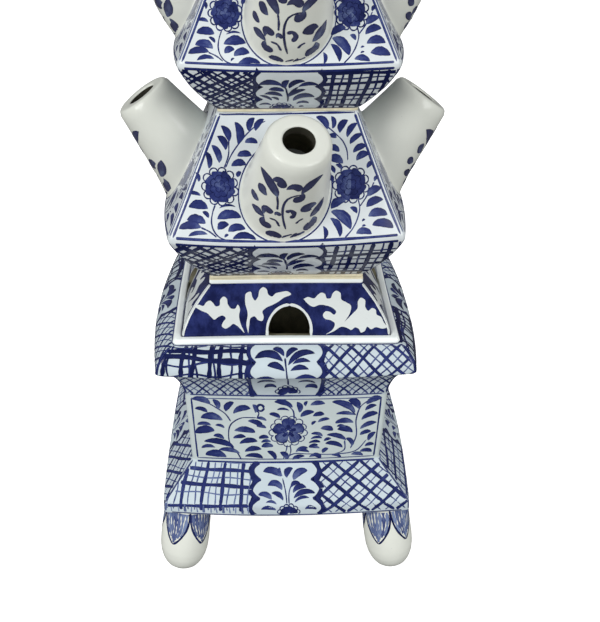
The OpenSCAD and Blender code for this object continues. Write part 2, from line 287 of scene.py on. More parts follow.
def cut(piece, tools):
    """Takes the tools' volumes out of a piece with exact Boolean cuts, and removes the tools."""
    for tool in tools:
        step = piece.modifiers.new("cut", "BOOLEAN")
        step.operation = "DIFFERENCE"
        step.solver = "EXACT"
        step.object = tool
    bpy.context.view_layer.update()
    depsgraph = bpy.context.evaluated_depsgraph_get()
    mesh = bpy.data.meshes.new_from_object(piece.evaluated_get(depsgraph))
    piece.modifiers.clear()
    piece.data = mesh
    mesh.set_sharp_from_angle(angle=SHARP)
    for tool in tools:
        bpy.data.objects.remove(tool)


def cutter(name, rings, finishes, skin):
    """Form to cut with, whose faces all leave one of the finishes."""
    tool = form(name, rings, False, finishes)
    faces = tool.data.polygons
    faces.foreach_set("material_index", np.full(len(faces), skin, np.int32))
    return tool


def seat(piece, body, slot, *nodes):
    """Lets a piece ride on a body and stand for CAD nodes, which are hidden; the slot is not used."""
    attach(piece, body)
    if nodes:
        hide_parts(*nodes)


# Panels that carry brushwork

class Panel:
    """A surface with its own millimetre map: a to the right seen from outside, b upwards.

    Films on strongly curved panels are raised a little more, to clear the wall between their points.
    """
    raised = 0.0
    own_top = math.inf

    def held(self, a, b, margin):
        """The same place, or the nearest one where the surface is still inside its ends by the margin."""
        return a, b

    def place(self, a, b, lift):
        """Points at a distance over the surface, and its normals, from small steps along a and b."""
        e = 0.05
        a, b = self.held(a, b, e)
        along_a = self.surface(a + e, b) - self.surface(a - e, b)
        along_b = self.surface(a, b + e) - self.surface(a, b - e)
        normal = np.cross(along_a, along_b)
        normal /= np.linalg.norm(normal, axis=-1, keepdims=True)
        return self.surface(a, b) + normal * (lift + self.raised)[..., None], normal


class WallPanel(Panel):
    """One side of a square wall; b runs along its profile from the given level."""

    def __init__(self, rows, side, level):
        self.rows = rows
        self.side = side
        length = np.concatenate([[0], np.cumsum(np.hypot(*np.diff(rows[:, :2], axis=0).T))])
        self.along = length - np.interp(level, rows[:, 1], length)

    def half(self, b):
        """Half width of the side at a height along the profile."""
        return np.interp(b, self.along, self.rows[:, 0])

    def height(self, level):
        """Distance along the profile to a level."""
        return np.interp(level, self.rows[:, 1], self.along)

    def held(self, a, b, margin):
        """The place, or the nearest one inside the profile's ends and the middles of the corners."""
        b = np.clip(b, self.along[0] + margin, self.along[-1] - margin)
        w, r = (np.interp(b, self.along, self.rows[:, i]) for i in (0, 3))
        reach = w - r * (1 - math.pi / 4) - margin
        return np.clip(a, -reach, reach), b

    def surface(self, a, b):
        """Point of the wall a across and b along the profile."""
        w, z, bow, r = (np.interp(b, self.along, column) for column in self.rows.T)
        return hand_made(turned(wall_point(w, z, bow, r, a), self.side))


class RoundPanel(Panel):
    """The outside of a turned form; a is the angle times a mean radius, b the distance along the axis."""

    def __init__(self, base, axis, start, radius, mean):
        self.base = base
        self.axis = axis
        self.start = start
        self.radius = radius
        self.mean = mean

    def surface(self, a, b):
        """Point of the turned form at the angle a / mean and the distance b along its axis."""
        out = spokes(a / self.mean, self.start, self.axis) * self.radius(b)[..., None]
        return hand_made(self.base + out + self.axis * b[..., None], self.own_top)


# Brushwork

def curve(points, count):
    """Smooth line through points: cubic pieces with the points' own mean slopes, sampled evenly."""
    p = np.asarray(points, float)
    t = np.concatenate([[0], np.cumsum(np.linalg.norm(np.diff(p, axis=0), axis=1))])
    slope = np.gradient(p, t, axis=0)
    s = np.linspace(0, t[-1], count)
    i = np.clip(np.searchsorted(t, s, side="right") - 1, 0, len(t) - 2)
    h = (t[i + 1] - t[i])[:, None]
    x = ((s - t[i])[:, None]) / h
    return ((2 * x ** 3 - 3 * x ** 2 + 1) * p[i] + (x ** 3 - 2 * x ** 2 + x) * h * slope[i]
            + (3 * x ** 2 - 2 * x ** 3) * p[i + 1] + (x ** 3 - x ** 2) * h * slope[i + 1])


def on_line(line, at):
    """Places on a drawn line, counted in its own points, with straight stretches between them."""
    whole = np.arange(len(line))
    return np.stack([np.interp(at, whole, line[:, 0]), np.interp(at, whole, line[:, 1])], axis=1)


def rays(angle):
    """Directions at angles in a panel: (cos, sin)."""
    return np.stack([np.cos(angle), np.sin(angle)], axis=1)


def clipped(lines, inside, count):
    """The parts of finely drawn lines that lie inside a region, each redrawn with count points."""
    found = []
    for line in lines:
        edge = np.flatnonzero(np.diff(np.concatenate([[0], inside(line[:, 0], line[:, 1]), [0]])))
        for first, last in zip(edge[::2], edge[1::2]):
            if last - first > 4:
                found.append(on_line(line, np.linspace(first, last - 1, count)))
    return np.array(found).reshape(-1, count, 2)


class Brush:
    """Gathers strokes on panels and lays them down as one mesh of thin films."""

    def __init__(self, seed):
        self.chance = np.random.default_rng(seed)
        self.films = []
        self.laid = 0

    def strokes(self, panel, lines, left, right, tone, layer=0):
        """Films along lines of panel points, left and right half widths wide."""
        lines = np.asarray(lines, float)
        count, n = lines.shape[:2]
        step = np.gradient(lines, axis=1)
        step /= np.maximum(np.linalg.norm(step, axis=-1, keepdims=True), 1e-9)
        normal = np.stack([-step[..., 1], step[..., 0]], axis=-1)
        left = np.broadcast_to(left, (count, n))[..., None]
        right = np.broadcast_to(right, (count, n))[..., None]
        across = np.linspace(1, -1, 3 if (left + right).max() < 2 else 5)
        offset = np.where(across > 0, left, right) * across
        self.film(panel, lines[:, :, None] + normal[:, :, None] * offset[..., None], tone, layer)

    def film(self, panel, flat, tone, layer):
        """Lays grids of panel points: edges and ends just under the glaze, the middle just over it.

        Each film of a round of 40 lies a little higher than the one before, so that crossings do not flicker.
        """
        count, n, columns = flat.shape[:3]
        lift = np.full((n, columns), FILM_OVER)
        lift[[0, -1]] = FILM_UNDER
        lift[:, [0, -1]] = FILM_UNDER
        order = (self.laid + np.arange(count)) % FILM_TURNS / FILM_TURNS
        lift = lift + (order * TURN_RISE + layer * LAYER_RISE)[:, None, None]
        self.laid += count
        points, normals = panel.place(flat[..., 0], flat[..., 1], lift)
        tones = np.asarray(tone, float)
        tones = tones[..., None] if tones.ndim == 2 else tones.reshape(-1, 1, 1)
        self.films.append((points, normals, np.broadcast_to(tones, flat.shape[:-1])))

    def waver(self, count, n, amount):
        """Slow swelling and thinning along each stroke, from two waves of chance phase."""
        u = np.linspace(0, 1, n)
        f, g = self.chance.uniform([1, 3], [2.5, 6], (count, 2)).T[..., None]
        p, q = self.chance.uniform(0, PHASE, (2, count, 1))
        return 1 + amount * np.sin(PHASE * f * u + p) + 0.5 * amount * np.sin(PHASE * g * u + q)

    def lines(self, panel, lines, width, tone, layer=0, spread=0.1, ends=0.45):
        """Drawn lines of an even width that wavers, rounded off at both ends."""
        lines = np.asarray(lines, float)
        if lines.ndim == 2:
            lines = lines[None]
        if not len(lines):
            return
        count, n = lines.shape[:2]
        cap = np.ones(n)
        cap[[0, -1]] = ends
        half = np.asarray(width, float).reshape(-1, 1) / 2 * cap * self.waver(count, n, 0.12)
        tones = np.broadcast_to(tone, (count,)) + self.chance.uniform(-spread, spread, count)
        self.strokes(panel, lines, half, half, tones, layer)

    def leaves(self, panel, roots, tips, breadth, bend=0.12, tone=0.2, layer=0, blunt=0.8, belly=0.3):
        """Leaf strokes: thin at the root, widest past the middle, drawn along a bent line.

        The half width follows t^0.8 (1-t)^blunt, more on the side that the leaf bends away from, and the line
        is a parabola whose middle lies bend times the length aside. Points crowd towards both ends as a
        cosine does, which keeps the ends smooth.
        """
        tips = np.asarray(tips, float)
        roots = np.broadcast_to(np.asarray(roots, float), tips.shape)
        count = len(roots)
        t = (1 - np.cos(np.linspace(0, math.pi, SHORT))) / 2
        span = tips - roots
        aside = np.stack([-span[:, 1], span[:, 0]], axis=1) * np.reshape(bend, (-1, 1)) * 2
        middle = (roots + tips) / 2 + aside
        u = t[None, :, None]
        lines = (1 - u) ** 2 * roots[:, None] + 2 * u * (1 - u) * middle[:, None] + u ** 2 * tips[:, None]
        shape = t ** 0.8 * (1 - t) ** blunt
        half = np.reshape(breadth, (-1, 1)) / 2 * (shape / shape.max() + 0.03)
        half = half * self.waver(count, SHORT, 0.06)
        lean = belly * np.sign(np.reshape(bend, (-1, 1)))
        tones = np.broadcast_to(tone, (count,)) + self.chance.uniform(-0.1, 0.1, count)
        shade = tones[:, None] + 0.22 * (1 - t) ** 2
        self.strokes(panel, lines, half * (1 + lean), half * (1 - lean), shade, layer)

    def foliage(self, panel, table, size, tone, blunt, broad):
        """Leaves from a table of (root a, root b, tip a, tip b, breadth), each a little astray.

        A sixth column gives each leaf's bend; without it they are arched upwards.
        """
        table = np.array(table)
        stray = self.chance.uniform(-0.35, 0.35, (len(table), 5)) * [1, 1, 1, 1, 0.6]
        leaf = (table[:, :5] + stray) * size
        way = np.where(leaf[:, 2] > leaf[:, 0], 1, -1)
        bend = table[:, 5] if table.shape[1] > 5 else way * self.chance.uniform(0.08, 0.15, len(table))
        self.leaves(panel, leaf[:, :2], leaf[:, 2:4], leaf[:, 4] * broad, bend, tone, 0, blunt)

    def spray(self, panel, stem, spacing, length, breadth, tone, stem_width, slant, first=1):
        """A drawn stem with leaves on alternate sides, each a little way off the stem.

        Leaves stand at the slant to the stem's direction; their length follows a low hump along the stem.
        """
        line = curve(stem, LONG)
        self.lines(panel, line, stem_width, tone + 0.15, ends=0.7)
        total = np.linalg.norm(np.diff(line, axis=0), axis=1).sum()
        at = np.arange(0.04 * total, total, spacing)
        count = len(at)
        u = at / total * (LONG - 1)
        where = on_line(line, u)
        grad = np.gradient(line, axis=0)
        angle = np.interp(u, np.arange(LONG), np.unwrap(np.arctan2(grad[:, 1], grad[:, 0])))
        side = np.where(np.arange(count) % 2 == 0, first, -first)
        angle = angle + side * np.radians(slant + self.chance.uniform(-9, 9, count))
        out = rays(angle)
        long = length * (0.8 + 0.3 * np.sin(np.pi * at / total)) * self.chance.uniform(0.88, 1.1, count)
        gap = 1.6
        roots = where + out * gap
        tips = where + out * (gap + long)[:, None]
        self.leaves(panel, roots, tips, breadth * self.chance.uniform(0.85, 1.12, count), 0.13 * side, tone)

    def blossom(self, panel, centre, radius):
        """A full flower: overlapping petals, darker edges over them, an outlined ring of scallops round it.

        Petals are short blunt leaves from the middle outwards; a scallop is an arc whose radius swells as the
        square root of one minus its parameter squared.
        """
        petals, tone = 8, 0.1
        centre = np.asarray(centre, float)
        angle = np.arange(petals) / petals * 2 * np.pi + self.chance.uniform(0, 1)
        out = rays(angle)
        self.leaves(panel, centre, centre + out * radius * 0.86, radius * 0.62, 0.05,
                    tone + self.chance.uniform(0.05, 0.3, petals), 1, 0.22, 0)
        for inner, outer, count in ((0.14, 0.34, 4), (0.40, 0.62, 7)):
            start = self.chance.uniform(0, 6)
            self.scallops(panel, centre, radius * inner, radius * outer, count, start, 2 * np.pi,
                          0.09 * radius, tone - 0.14, 3)
        self.scallops(panel, centre, radius * 0.78, radius * 1.06, 11, 0, 2 * np.pi, 0.95, tone + 0.08)

    def scallops(self, panel, centre, inner, outer, count, start, sweep, width, tone, layer=1):
        """Outlined petals round a centre, side by side over the sweep of angle."""
        t = np.linspace(-1, 1, SHORT)
        angle = start + (np.arange(count)[:, None] + 0.5 + 0.5 * t) * sweep / count
        uneven = self.chance.uniform(0.85, 1.1, (count, 1))
        reach = inner + (outer - inner) * np.sqrt(np.maximum(1 - t ** 2, 0)) * uneven
        points = np.stack([np.cos(angle) * reach, np.sin(angle) * reach], axis=-1) + np.asarray(centre)
        self.lines(panel, points, width, tone, layer)

    def net(self, panel, inside, reach, gap, rise, low, high, tone, thick, thin, fine, wild=0.5):
        """Square net inside a region: thick lines across and up, with thin ones between, all wavering."""
        b = np.linspace(low, high, 120)
        a = np.linspace(reach[0], reach[1], 120)
        ups = np.arange(reach[0], reach[1] + gap, gap / (fine + 1))
        levels = np.arange(low + rise * 0.5, high, rise / 2)
        most = 200
        wave = self.chance.uniform(0, PHASE, (2, most))
        tilt = self.chance.uniform(-0.06, 0.06, (2, most)) * wild
        fan = panel.half(b) / panel.half((low + high) / 2) - 1
        amount = np.where(np.arange(most) % (fine + 1), 1.0, 0.4) * wild
        upright = [
            np.stack([u * (1 + 0.35 * fan) + amount[i] * np.sin(b / 5 + wave[0, i]) + tilt[0, i] * b, b], 1)
            for i, u in enumerate(ups)
        ]
        sway = [wild * (0.4 + 0.6 * (i % 2)) * np.sin(a / 6 + wave[1, i]) for i in range(len(levels))]
        across = [np.stack([a, level + sway[i] + tilt[1, i] * a], 1) for i, level in enumerate(levels)]
        self.lines(panel, clipped(upright[::fine + 1], inside, LONG), thick, tone, 1)
        self.lines(panel, clipped(across[::2], inside, LONG), thick, tone, 1)
        rest = [line for i, line in enumerate(upright) if i % (fine + 1)]
        self.lines(panel, clipped(rest, inside, LONG), thin, tone + 0.25)
        self.lines(panel, clipped(across[1::2], inside, LONG), thin, tone + 0.25)

    def lattice(self, panel, inside, reach, gap, angle, low, high, tone, thick, thin):
        """Slanting lattice inside a region: two families of thick lines, thin ones between, all wavering."""
        b = np.linspace(low, high, 160)
        run = (b - low) / math.tan(math.radians(angle))
        span = run[-1]
        starts = np.arange(reach[0] - span, reach[1] + span, gap / 2)
        for way in (1, -1):
            wave = self.chance.uniform(0, PHASE, len(starts))
            slant = self.chance.uniform(0.94, 1.06, len(starts))
            sway = [(0.3 + 0.4 * (i % 2)) * np.sin(b / 4 + wave[i]) for i in range(len(starts))]
            drawn = [np.stack([s + way * run * slant[i] + sway[i], b], 1) for i, s in enumerate(starts)]
            self.lines(panel, clipped(drawn[::2], inside, LONG), thick, tone, 1)
            self.lines(panel, clipped(drawn[1::2], inside, LONG), thin, tone + 0.2)

    def lay(self, name, finish):
        """Joins all films into one mesh object with a brush map, tones and the walls' own normals."""
        points, normals, tones, maps, faces = [], [], [], [], []
        start = 0
        for p, normal, tone in self.films:
            count, n, m = p.shape[:3]
            points.append(p.reshape(-1, 3))
            normals.append(normal.reshape(-1, 3))
            tones.append(tone.reshape(-1))
            along, across = np.meshgrid(np.linspace(0, 1, n), np.linspace(0, 1, m), indexing="ij")
            one = np.stack([along, across], axis=-1)
            shift = self.chance.uniform(0, 1, (count, 1, 1, 1)) * np.array([0, 3.0])
            maps.append((one[None] + np.floor(shift * 8)).reshape(-1, 2))
            grid = np.arange(count * n * m).reshape(count, n, m) + start
            faces.append(np.stack([grid[:, :-1, :-1], grid[:, :-1, 1:], grid[:, 1:, 1:], grid[:, 1:, :-1]],
                                  axis=-1).reshape(-1, 4))
            start += count * n * m
        gathered = (points, normals, tones, maps, faces)
        points, normals, tones, maps, faces = (np.concatenate(part) for part in gathered)
        mesh = bpy.data.meshes.new(name)
        mesh.from_pydata((points * 0.001).tolist(), [], faces.tolist())
        mesh.materials.append(finish)
        mesh.attributes.new("tone", "FLOAT", "POINT").data.foreach_set("value", tones.astype(np.float32))
        corners = maps[faces.reshape(-1)].reshape(-1).astype(np.float32)
        mesh.uv_layers.new(name="brush").data.foreach_set("uv", corners)
        mesh.polygons.foreach_set("use_smooth", np.ones(len(faces), bool))
        mesh.normals_split_custom_set_from_vertices(normals.tolist())
        piece = bpy.data.objects.new(name, mesh)
        bpy.context.scene.collection.objects.link(piece)
        return piece


# Designs

def region(left, right, low, high):
    """Test for points between two side lines, given as functions of b, and two heights."""
    return lambda a, b: ((a > left(b)) & (a < right(b)) & (b > low) & (b < high)).astype(int)


def lobed(middle, depth, bounds, taper=0.0):
    """Half width of a cartouche: a middle value, a rounded lobe between each two heights, less a taper."""
    def half(b):
        lobe = np.abs(np.sin(np.pi * np.interp(b, bounds, np.arange(len(bounds)))))
        return middle + depth * lobe ** 0.75 - taper * (b - bounds[0]) / (bounds[-1] - bounds[0])
    return half


def cartouche(brush, panel, edge, low, high, inner, outer, tone):
    """Outline of a cartouche on both sides, broader outwards than inwards, most of all in the notches."""
    b = np.linspace(low, high, LONG * 2 - 1)
    half = edge(b)
    notch = 1.35 - 0.7 * (half - half.min()) / (half.max() - half.min())
    for way in (1, -1):
        for part in (slice(0, LONG), slice(LONG - 1, None)):
            line = np.stack([way * half[part], b[part]], axis=1)
            wide = [outer * notch[part] * brush.waver(1, LONG, 0.2), inner * brush.waver(1, LONG, 0.2)]
            brush.strokes(panel, line[None], *wide[::-way], tone, 2)


def level_line(brush, panel, b, width, tone, margin=0.6):
    """Line right across a panel at one height."""
    half = float(panel.half(b)) - margin
    line = np.stack([np.linspace(-half, half, LONG), np.full(LONG, float(b))], axis=1)
    brush.lines(panel, line, width, tone, 2, 0.05)


def hip_lines(brush, panel, inset, low, high, width, tone):
    """Lines up both edges of a panel, at an even distance from them."""
    b = np.linspace(low, high, LONG)
    for way in (1, -1):
        brush.lines(panel, np.stack([way * (panel.half(b) - inset), b], axis=1), width, tone, 2, 0.05)


ROOF_STEMS = (
    ((-43, 1), (-48, 3), (-51.5, 6.5), (-53.5, 12), (-53, 19), (-51, 25)),
    ((-43.5, 50), (-39, 59.5), (-34, 66.5), (-28.5, 73), (-22, 78.5), (-15, 82)),
    ((-44.5, 50), (-41.5, 58), (-41, 69)), ((-61, 9), (-55, 6.5), (-50, 3)),
    ((40.5, 1.5), (46, 7), (50.5, 15), (52, 21.5), (51, 27)),
    ((43.5, 53.5), (42.5, 61), (39.5, 67), (34.5, 72), (28, 77.5), (22, 83)),
    ((52, 22), (56, 27), (60, 33), (62.5, 38)),
)
ROOF_LEAVES = (
    (-55.5, 49, -57.5, 61, 3.5), (-48, 53.5, -53.5, 65, 4), (-43.5, 62, -49.5, 71.5, 4),
    (-41, 68, -46.5, 79, 4), (-34.5, 66.5, -36.5, 81, 5), (-26.5, 74.5, -23, 84, 4.5),
    (-22.5, 75.5, -16, 83, 4), (-30, 67.5, -20.5, 67, 4), (-35, 58.5, -25, 58.5, 4.5),
    (-39.5, 51, -29, 52.5, 4.5), (-35, 44, -32, 47.5, 3), (-61, 31, -70, 31.5, 2.5),
    (-56.5, 22, -70, 22.5, 5.5), (-57.5, 12, -71, 14, 5.5), (-56, 16, -60.5, 20, 2.5),
    (-60.5, 9, -76.5, 7.5, 5), (-56.5, 4.5, -70, 3, 3), (-49.5, 15, -33, 16.5, 6),
    (-48, 22.5, -36.5, 23.5, 1.5), (-49, 8.5, -41.5, 11.5, 4.5), (-41.5, 7, -30, 9, 5),
    (-38.5, 2, -22, 2, 4), (-44, 3, -41.5, 5, 1.5), (-62.5, 40, -64.5, 46, 2.5),
    (28.5, 75.5, 20.5, 84, 4.5), (32, 75.5, 30.5, 84, 3.5), (37.5, 72.5, 43, 81, 4.5),
    (43, 69.5, 49.5, 79, 4), (45, 64.5, 54, 71, 4), (47, 59, 56.5, 63, 4), (49.5, 53, 59, 57, 4.5),
    (57.5, 47.5, 62, 51.5, 3), (62.5, 38.5, 66, 42, 2.5), (35, 69, 29, 70, 3), (37.5, 60, 29, 63, 4),
    (40, 52, 29.5, 55.5, 5), (34.5, 45.5, 29.5, 50.5, 3), (39.5, 47.5, 35, 51, 2.5),
    (33, 39.5, 29.5, 43.5, 3), (58, 29, 67.5, 33.5, 5), (57, 21.5, 69, 25.5, 5), (58, 15, 72, 15, 5.5),
    (61, 8.5, 76, 6, 5.5), (48.5, 4, 60, 2.5, 4), (42, 27, 31.5, 22, 5), (31.5, 19.5, 44.5, 7, 7),
    (30.5, 15.5, 37, 2.5, 4.5), (25, 10, 25.5, 1.5, 3), (45, 21.5, 49.5, 17.5, 3),
    (53.5, 12, 56, 13, 1.5), (53, 8, 56, 9, 1.5),
)


def paint_roof(brush, panel, size, high, outline):
    """Roof side: a flower and leafy stems on each side of the spout, border lines, a line round the spout."""
    hip_lines(brush, panel, 3.1 * size, 1.0, high - 2.0, 1.7 * size, 0.36)
    hip_lines(brush, panel, 0.7, 0.5, high - 0.5, 0.7, 0.42)
    level_line(brush, panel, 0.7, 2.0 * size, 0.3, 0.8)
    level_line(brush, panel, high - 2.2 * size, 1.7 * size, 0.2, 2.4 * size)
    for part in (outline[:LONG], outline[LONG - 1:]):
        brush.lines(panel, part, 0.95 * size, 0.22, 2, 0.05)
    for stem in ROOF_STEMS:
        brush.lines(panel, curve(np.array(stem) * size, LONG), 1.15 * size, 0.28)
    for place in ((-48, 36.8), (46.3, 37.6)):
        brush.blossom(panel, np.array(place) * size + brush.chance.uniform(-0.6, 0.6, 2), 12.4 * size)
    brush.foliage(panel, ROOF_LEAVES, size, 0.2, 0.8, 1.16)


BOWL_FAN = (
    (-5.5, 34.5, -23, 35, 4.5, -0.15), (-4, 27.5, -15.5, 29, 4, -0.1), (-5, 20.5, -19, 23.5, 4, -0.15),
    (-13, 15, -22.5, 22, 2.5, -0.1), (-8, 15, -13.5, 19, 2.5, -0.15), (-13, 7.5, -22.5, 8, 2.5, -0.2),
    (-2.5, 32.5, 0, 40.5, 4, 0.2), (0, 31, 12, 39, 4, 0.2), (7, 32.5, 22.5, 34, 3.5, 0.15),
    (-0.5, 19.5, 13, 29.5, 4, 0.1), (4, 14, 20, 19, 5, 0.25), (6.5, 9.5, 16, 10, 3, 0.25),
    (8.5, 4, 12.5, 4.5, 2, 0.2),
)
BOWL_STEMS = (
    ((-0.5, 13), (-0.5, 20), (-1.5, 26), (-3, 32), (-6.5, 34.5)), ((-0.5, 20.5), (2.5, 28), (7, 32.5)),
)


def paint_bowl(brush, panel, size, high):
    """Bowl side: slanting lattice, cartouche with a fan of leaves, square net."""
    edge = lobed(20 * size, 6.0 * size, np.linspace(0, high, 4))
    margin = lambda b: panel.half(b) - 0.5
    level_line(brush, panel, high - 0.2, 1.8 * size, 0.1, 0.5)
    level_line(brush, panel, 1.0, 1.5 * size, 0.2, 0.5)
    hip_lines(brush, panel, 0.6, 0.8, high - 0.6, 1.0 * size, 0.25)
    left = region(lambda b: -margin(b), lambda b: -edge(b) - 1, 1, high - 0.8)
    right = region(lambda b: edge(b) + 1, margin, 1, high - 0.8)
    brush.lattice(panel, left, (-90 * size, -14 * size), 17 * size, 37, 0.5, high, -0.16,
                  3.2 * size, 1.7 * size)
    brush.net(panel, right, (19 * size, 90 * size), 13 * size, 13.5 * size, 0.5, high, -0.14,
              3.4 * size, 1.6 * size, 1)
    cartouche(brush, panel, edge, 1, high - 0.8, 0.7 * size, 3.8 * size, -0.08)
    for stem in BOWL_STEMS:
        brush.lines(panel, curve(np.array(stem) * size, SHORT), 1.6 * size, 0.0)
    brush.foliage(panel, BOWL_FAN, size, -0.02, 0.8, 1.25)
    half_flower(brush, panel, (-5.0 * size, 1.2), 9.5 * size)


def paint_edge(brush, panel, low):
    """Line under the white edge band."""
    level_line(brush, panel, low + 0.3, 1.2, 0.16, 0.5)


PLINTH_FAN = (
    (-4, 33, -18.5, 36.5, 5.5, -0.15), (-2.5, 33, -4.5, 39.5, 3.5, 0.2), (1, 31.5, 6, 39, 4.5, 0.2),
    (6, 30, 17.5, 37, 5.5, 0.15), (-3, 22.5, -14.5, 26, 4.5, -0.25), (4, 24, 11, 27.5, 3, 0.2),
    (-3, 14.5, -11.5, 20, 3.5, -0.15), (5.5, 20, 16.5, 24, 4, 0.2), (6, 16, 23.5, 19, 4, 0.15),
    (-11.5, 15, -22.5, 18.5, 4, -0.15), (7, 12.5, 18.5, 15.5, 2.5, 0.15),
    (-8, 11.5, -16.5, 12.5, 2, -0.15), (-8.5, 6.5, -20.5, 7, 4, -0.15), (15, 7, 24, 6.5, 4, 0.2),
)


def paint_plinth(brush, panel, lip, high):
    """Plinth side: square net, cartouche with two leafy stems, slanting lattice; a pale line on the lip."""
    edge = lobed(22.0, 7.0, np.linspace(1, high, 4), 3.5)
    margin = lambda b: panel.half(b) - 0.8
    left = region(lambda b: -margin(b), lambda b: -edge(b) - 1.5, 2.6, high - 1.2)
    right = region(lambda b: edge(b) + 1.5, margin, 2.6, high - 1.2)
    brush.net(panel, left, (-98, -19), 15.6, 12.6, lip - 5.0, high, 0.28, 2.9, 1.3, 2, 0.6)
    brush.net(panel, region(lambda b: -margin(b), lambda b: -edge(b) - 1.5, 2.6, lip),
              (-98, -19), 15.6, 40, 2, lip, 0.5, 2.0, 1.0, 2)
    brush.lattice(panel, right, (19, 100), 20.0, 40, 2, high, 0.2, 2.7, 1.2)
    level_line(brush, panel, 1.5, 1.2, 0.36, 0.6)
    level_line(brush, panel, high - 0.9, 1.5, 0.25, 0.6)
    hip_lines(brush, panel, 0.6, 2.0, high - 1.0, 1.3, 0.25)
    cartouche(brush, panel, edge, 2.4, high - 1.4, 0.8, 4.0, 0.12)
    for stem in (((0.6, 8.4), (-0.4, 20.8), (-2.8, 31.6)), ((2.1, 8.4), (2.8, 22.2), (6.5, 29.9))):
        brush.lines(panel, curve(stem, SHORT), 1.1, 0.3)
    brush.foliage(panel, PLINTH_FAN, 1.0, 0.22, 0.8, 1.15)
    half_flower(brush, panel, (1.8, 2.4), 9.4)


def half_flower(brush, panel, centre, radius):
    """Upper half of a flower, standing on a line."""
    centre = np.asarray(centre, float)
    angle = np.linspace(0.3, 2.84, 6)
    out = rays(angle)
    brush.leaves(panel, centre + out * radius * 0.1, centre + out * radius * 0.8, radius * 0.42,
                 0.05, 0.1, 1, 0.25)
    brush.scallops(panel, centre, radius * 0.78, radius, 6, 0.05, 3.04, 1.0, 0.15)


TRAY_FAN = (
    (-2.5, 50, -23.5, 52, 5, -0.15), (-2, 53, -10.5, 57.5, 4, -0.15), (0, 52, 9, 57.5, 4, 0.15),
    (1.5, 47.5, 21, 55, 4.5, 0.15), (5, 48, 18, 49.5, 2.5, 0.1), (-1.5, 44, -14, 47.5, 4.5, -0.1),
    (3.5, 44, 16.5, 45, 3.5, 0.1), (-6, 36, -26, 34.5, 3, -0.15), (-4.5, 27, -21, 26, 4, -0.2),
    (5, 36, 24, 36.5, 3, 0.15), (5, 26, 21, 25.5, 3.5, 0.2), (-7.5, 10.5, -17, 10.5, 4.5, -0.3),
    (14.5, 10.5, 23.5, 9.5, 5, 0.3), (-8, 18, -22, 17, 3.5, -0.2), (9, 18, 22.5, 17, 3.5, 0.2),
)


def paint_tray(brush, panel, cove, high):
    """Tray side: square net, cartouche with a leaf fan, slanting lattice, and a finer lattice in the cove."""
    edge = lobed(22.5, 5.0, (1, cove, cove + 12, high))
    margin = lambda b: panel.half(b) - 1.0
    crease = cove - 2
    sides = ((lambda b: -margin(b), lambda b: -edge(b) - 1.5), (lambda b: edge(b) + 1.5, margin))
    upper, under = ([region(*side, *span) for side in sides] for span in ((crease, high - 1.2), (2, crease)))
    brush.net(panel, upper[0], (-104, -19), 11.4, 9.6, crease - 3, high, -0.08, 3.2, 1.5, 1, 1.3)
    brush.lattice(panel, upper[1], (20, 104), 17.0, 42, crease, high, 0.22, 2.1, 1.0)
    for inside, reach in zip(under, ((-104, -19), (19, 104))):
        brush.lattice(panel, inside, reach, 13.0, 48, 1, cove, 0.30, 1.7, 1.0)
    level_line(brush, panel, high - 0.7, 1.3, 0.25, 0.8)
    level_line(brush, panel, 1.4, 1.4, 0.35, 0.8)
    hip_lines(brush, panel, 1.2, 2, high - 2, 1.6, 0.2)
    cartouche(brush, panel, edge, 1.6, high - 1.0, 0.7, 3.9, 0.14)
    brush.lines(panel, curve([(1.6, 14), (1, 36), (-1, 52)], LONG), 1.2, 0.22)
    brush.foliage(panel, TRAY_FAN, 1.0, 0.12, 0.8, 1.0)
    half_flower(brush, panel, (1.2, 3.5), 10.0)


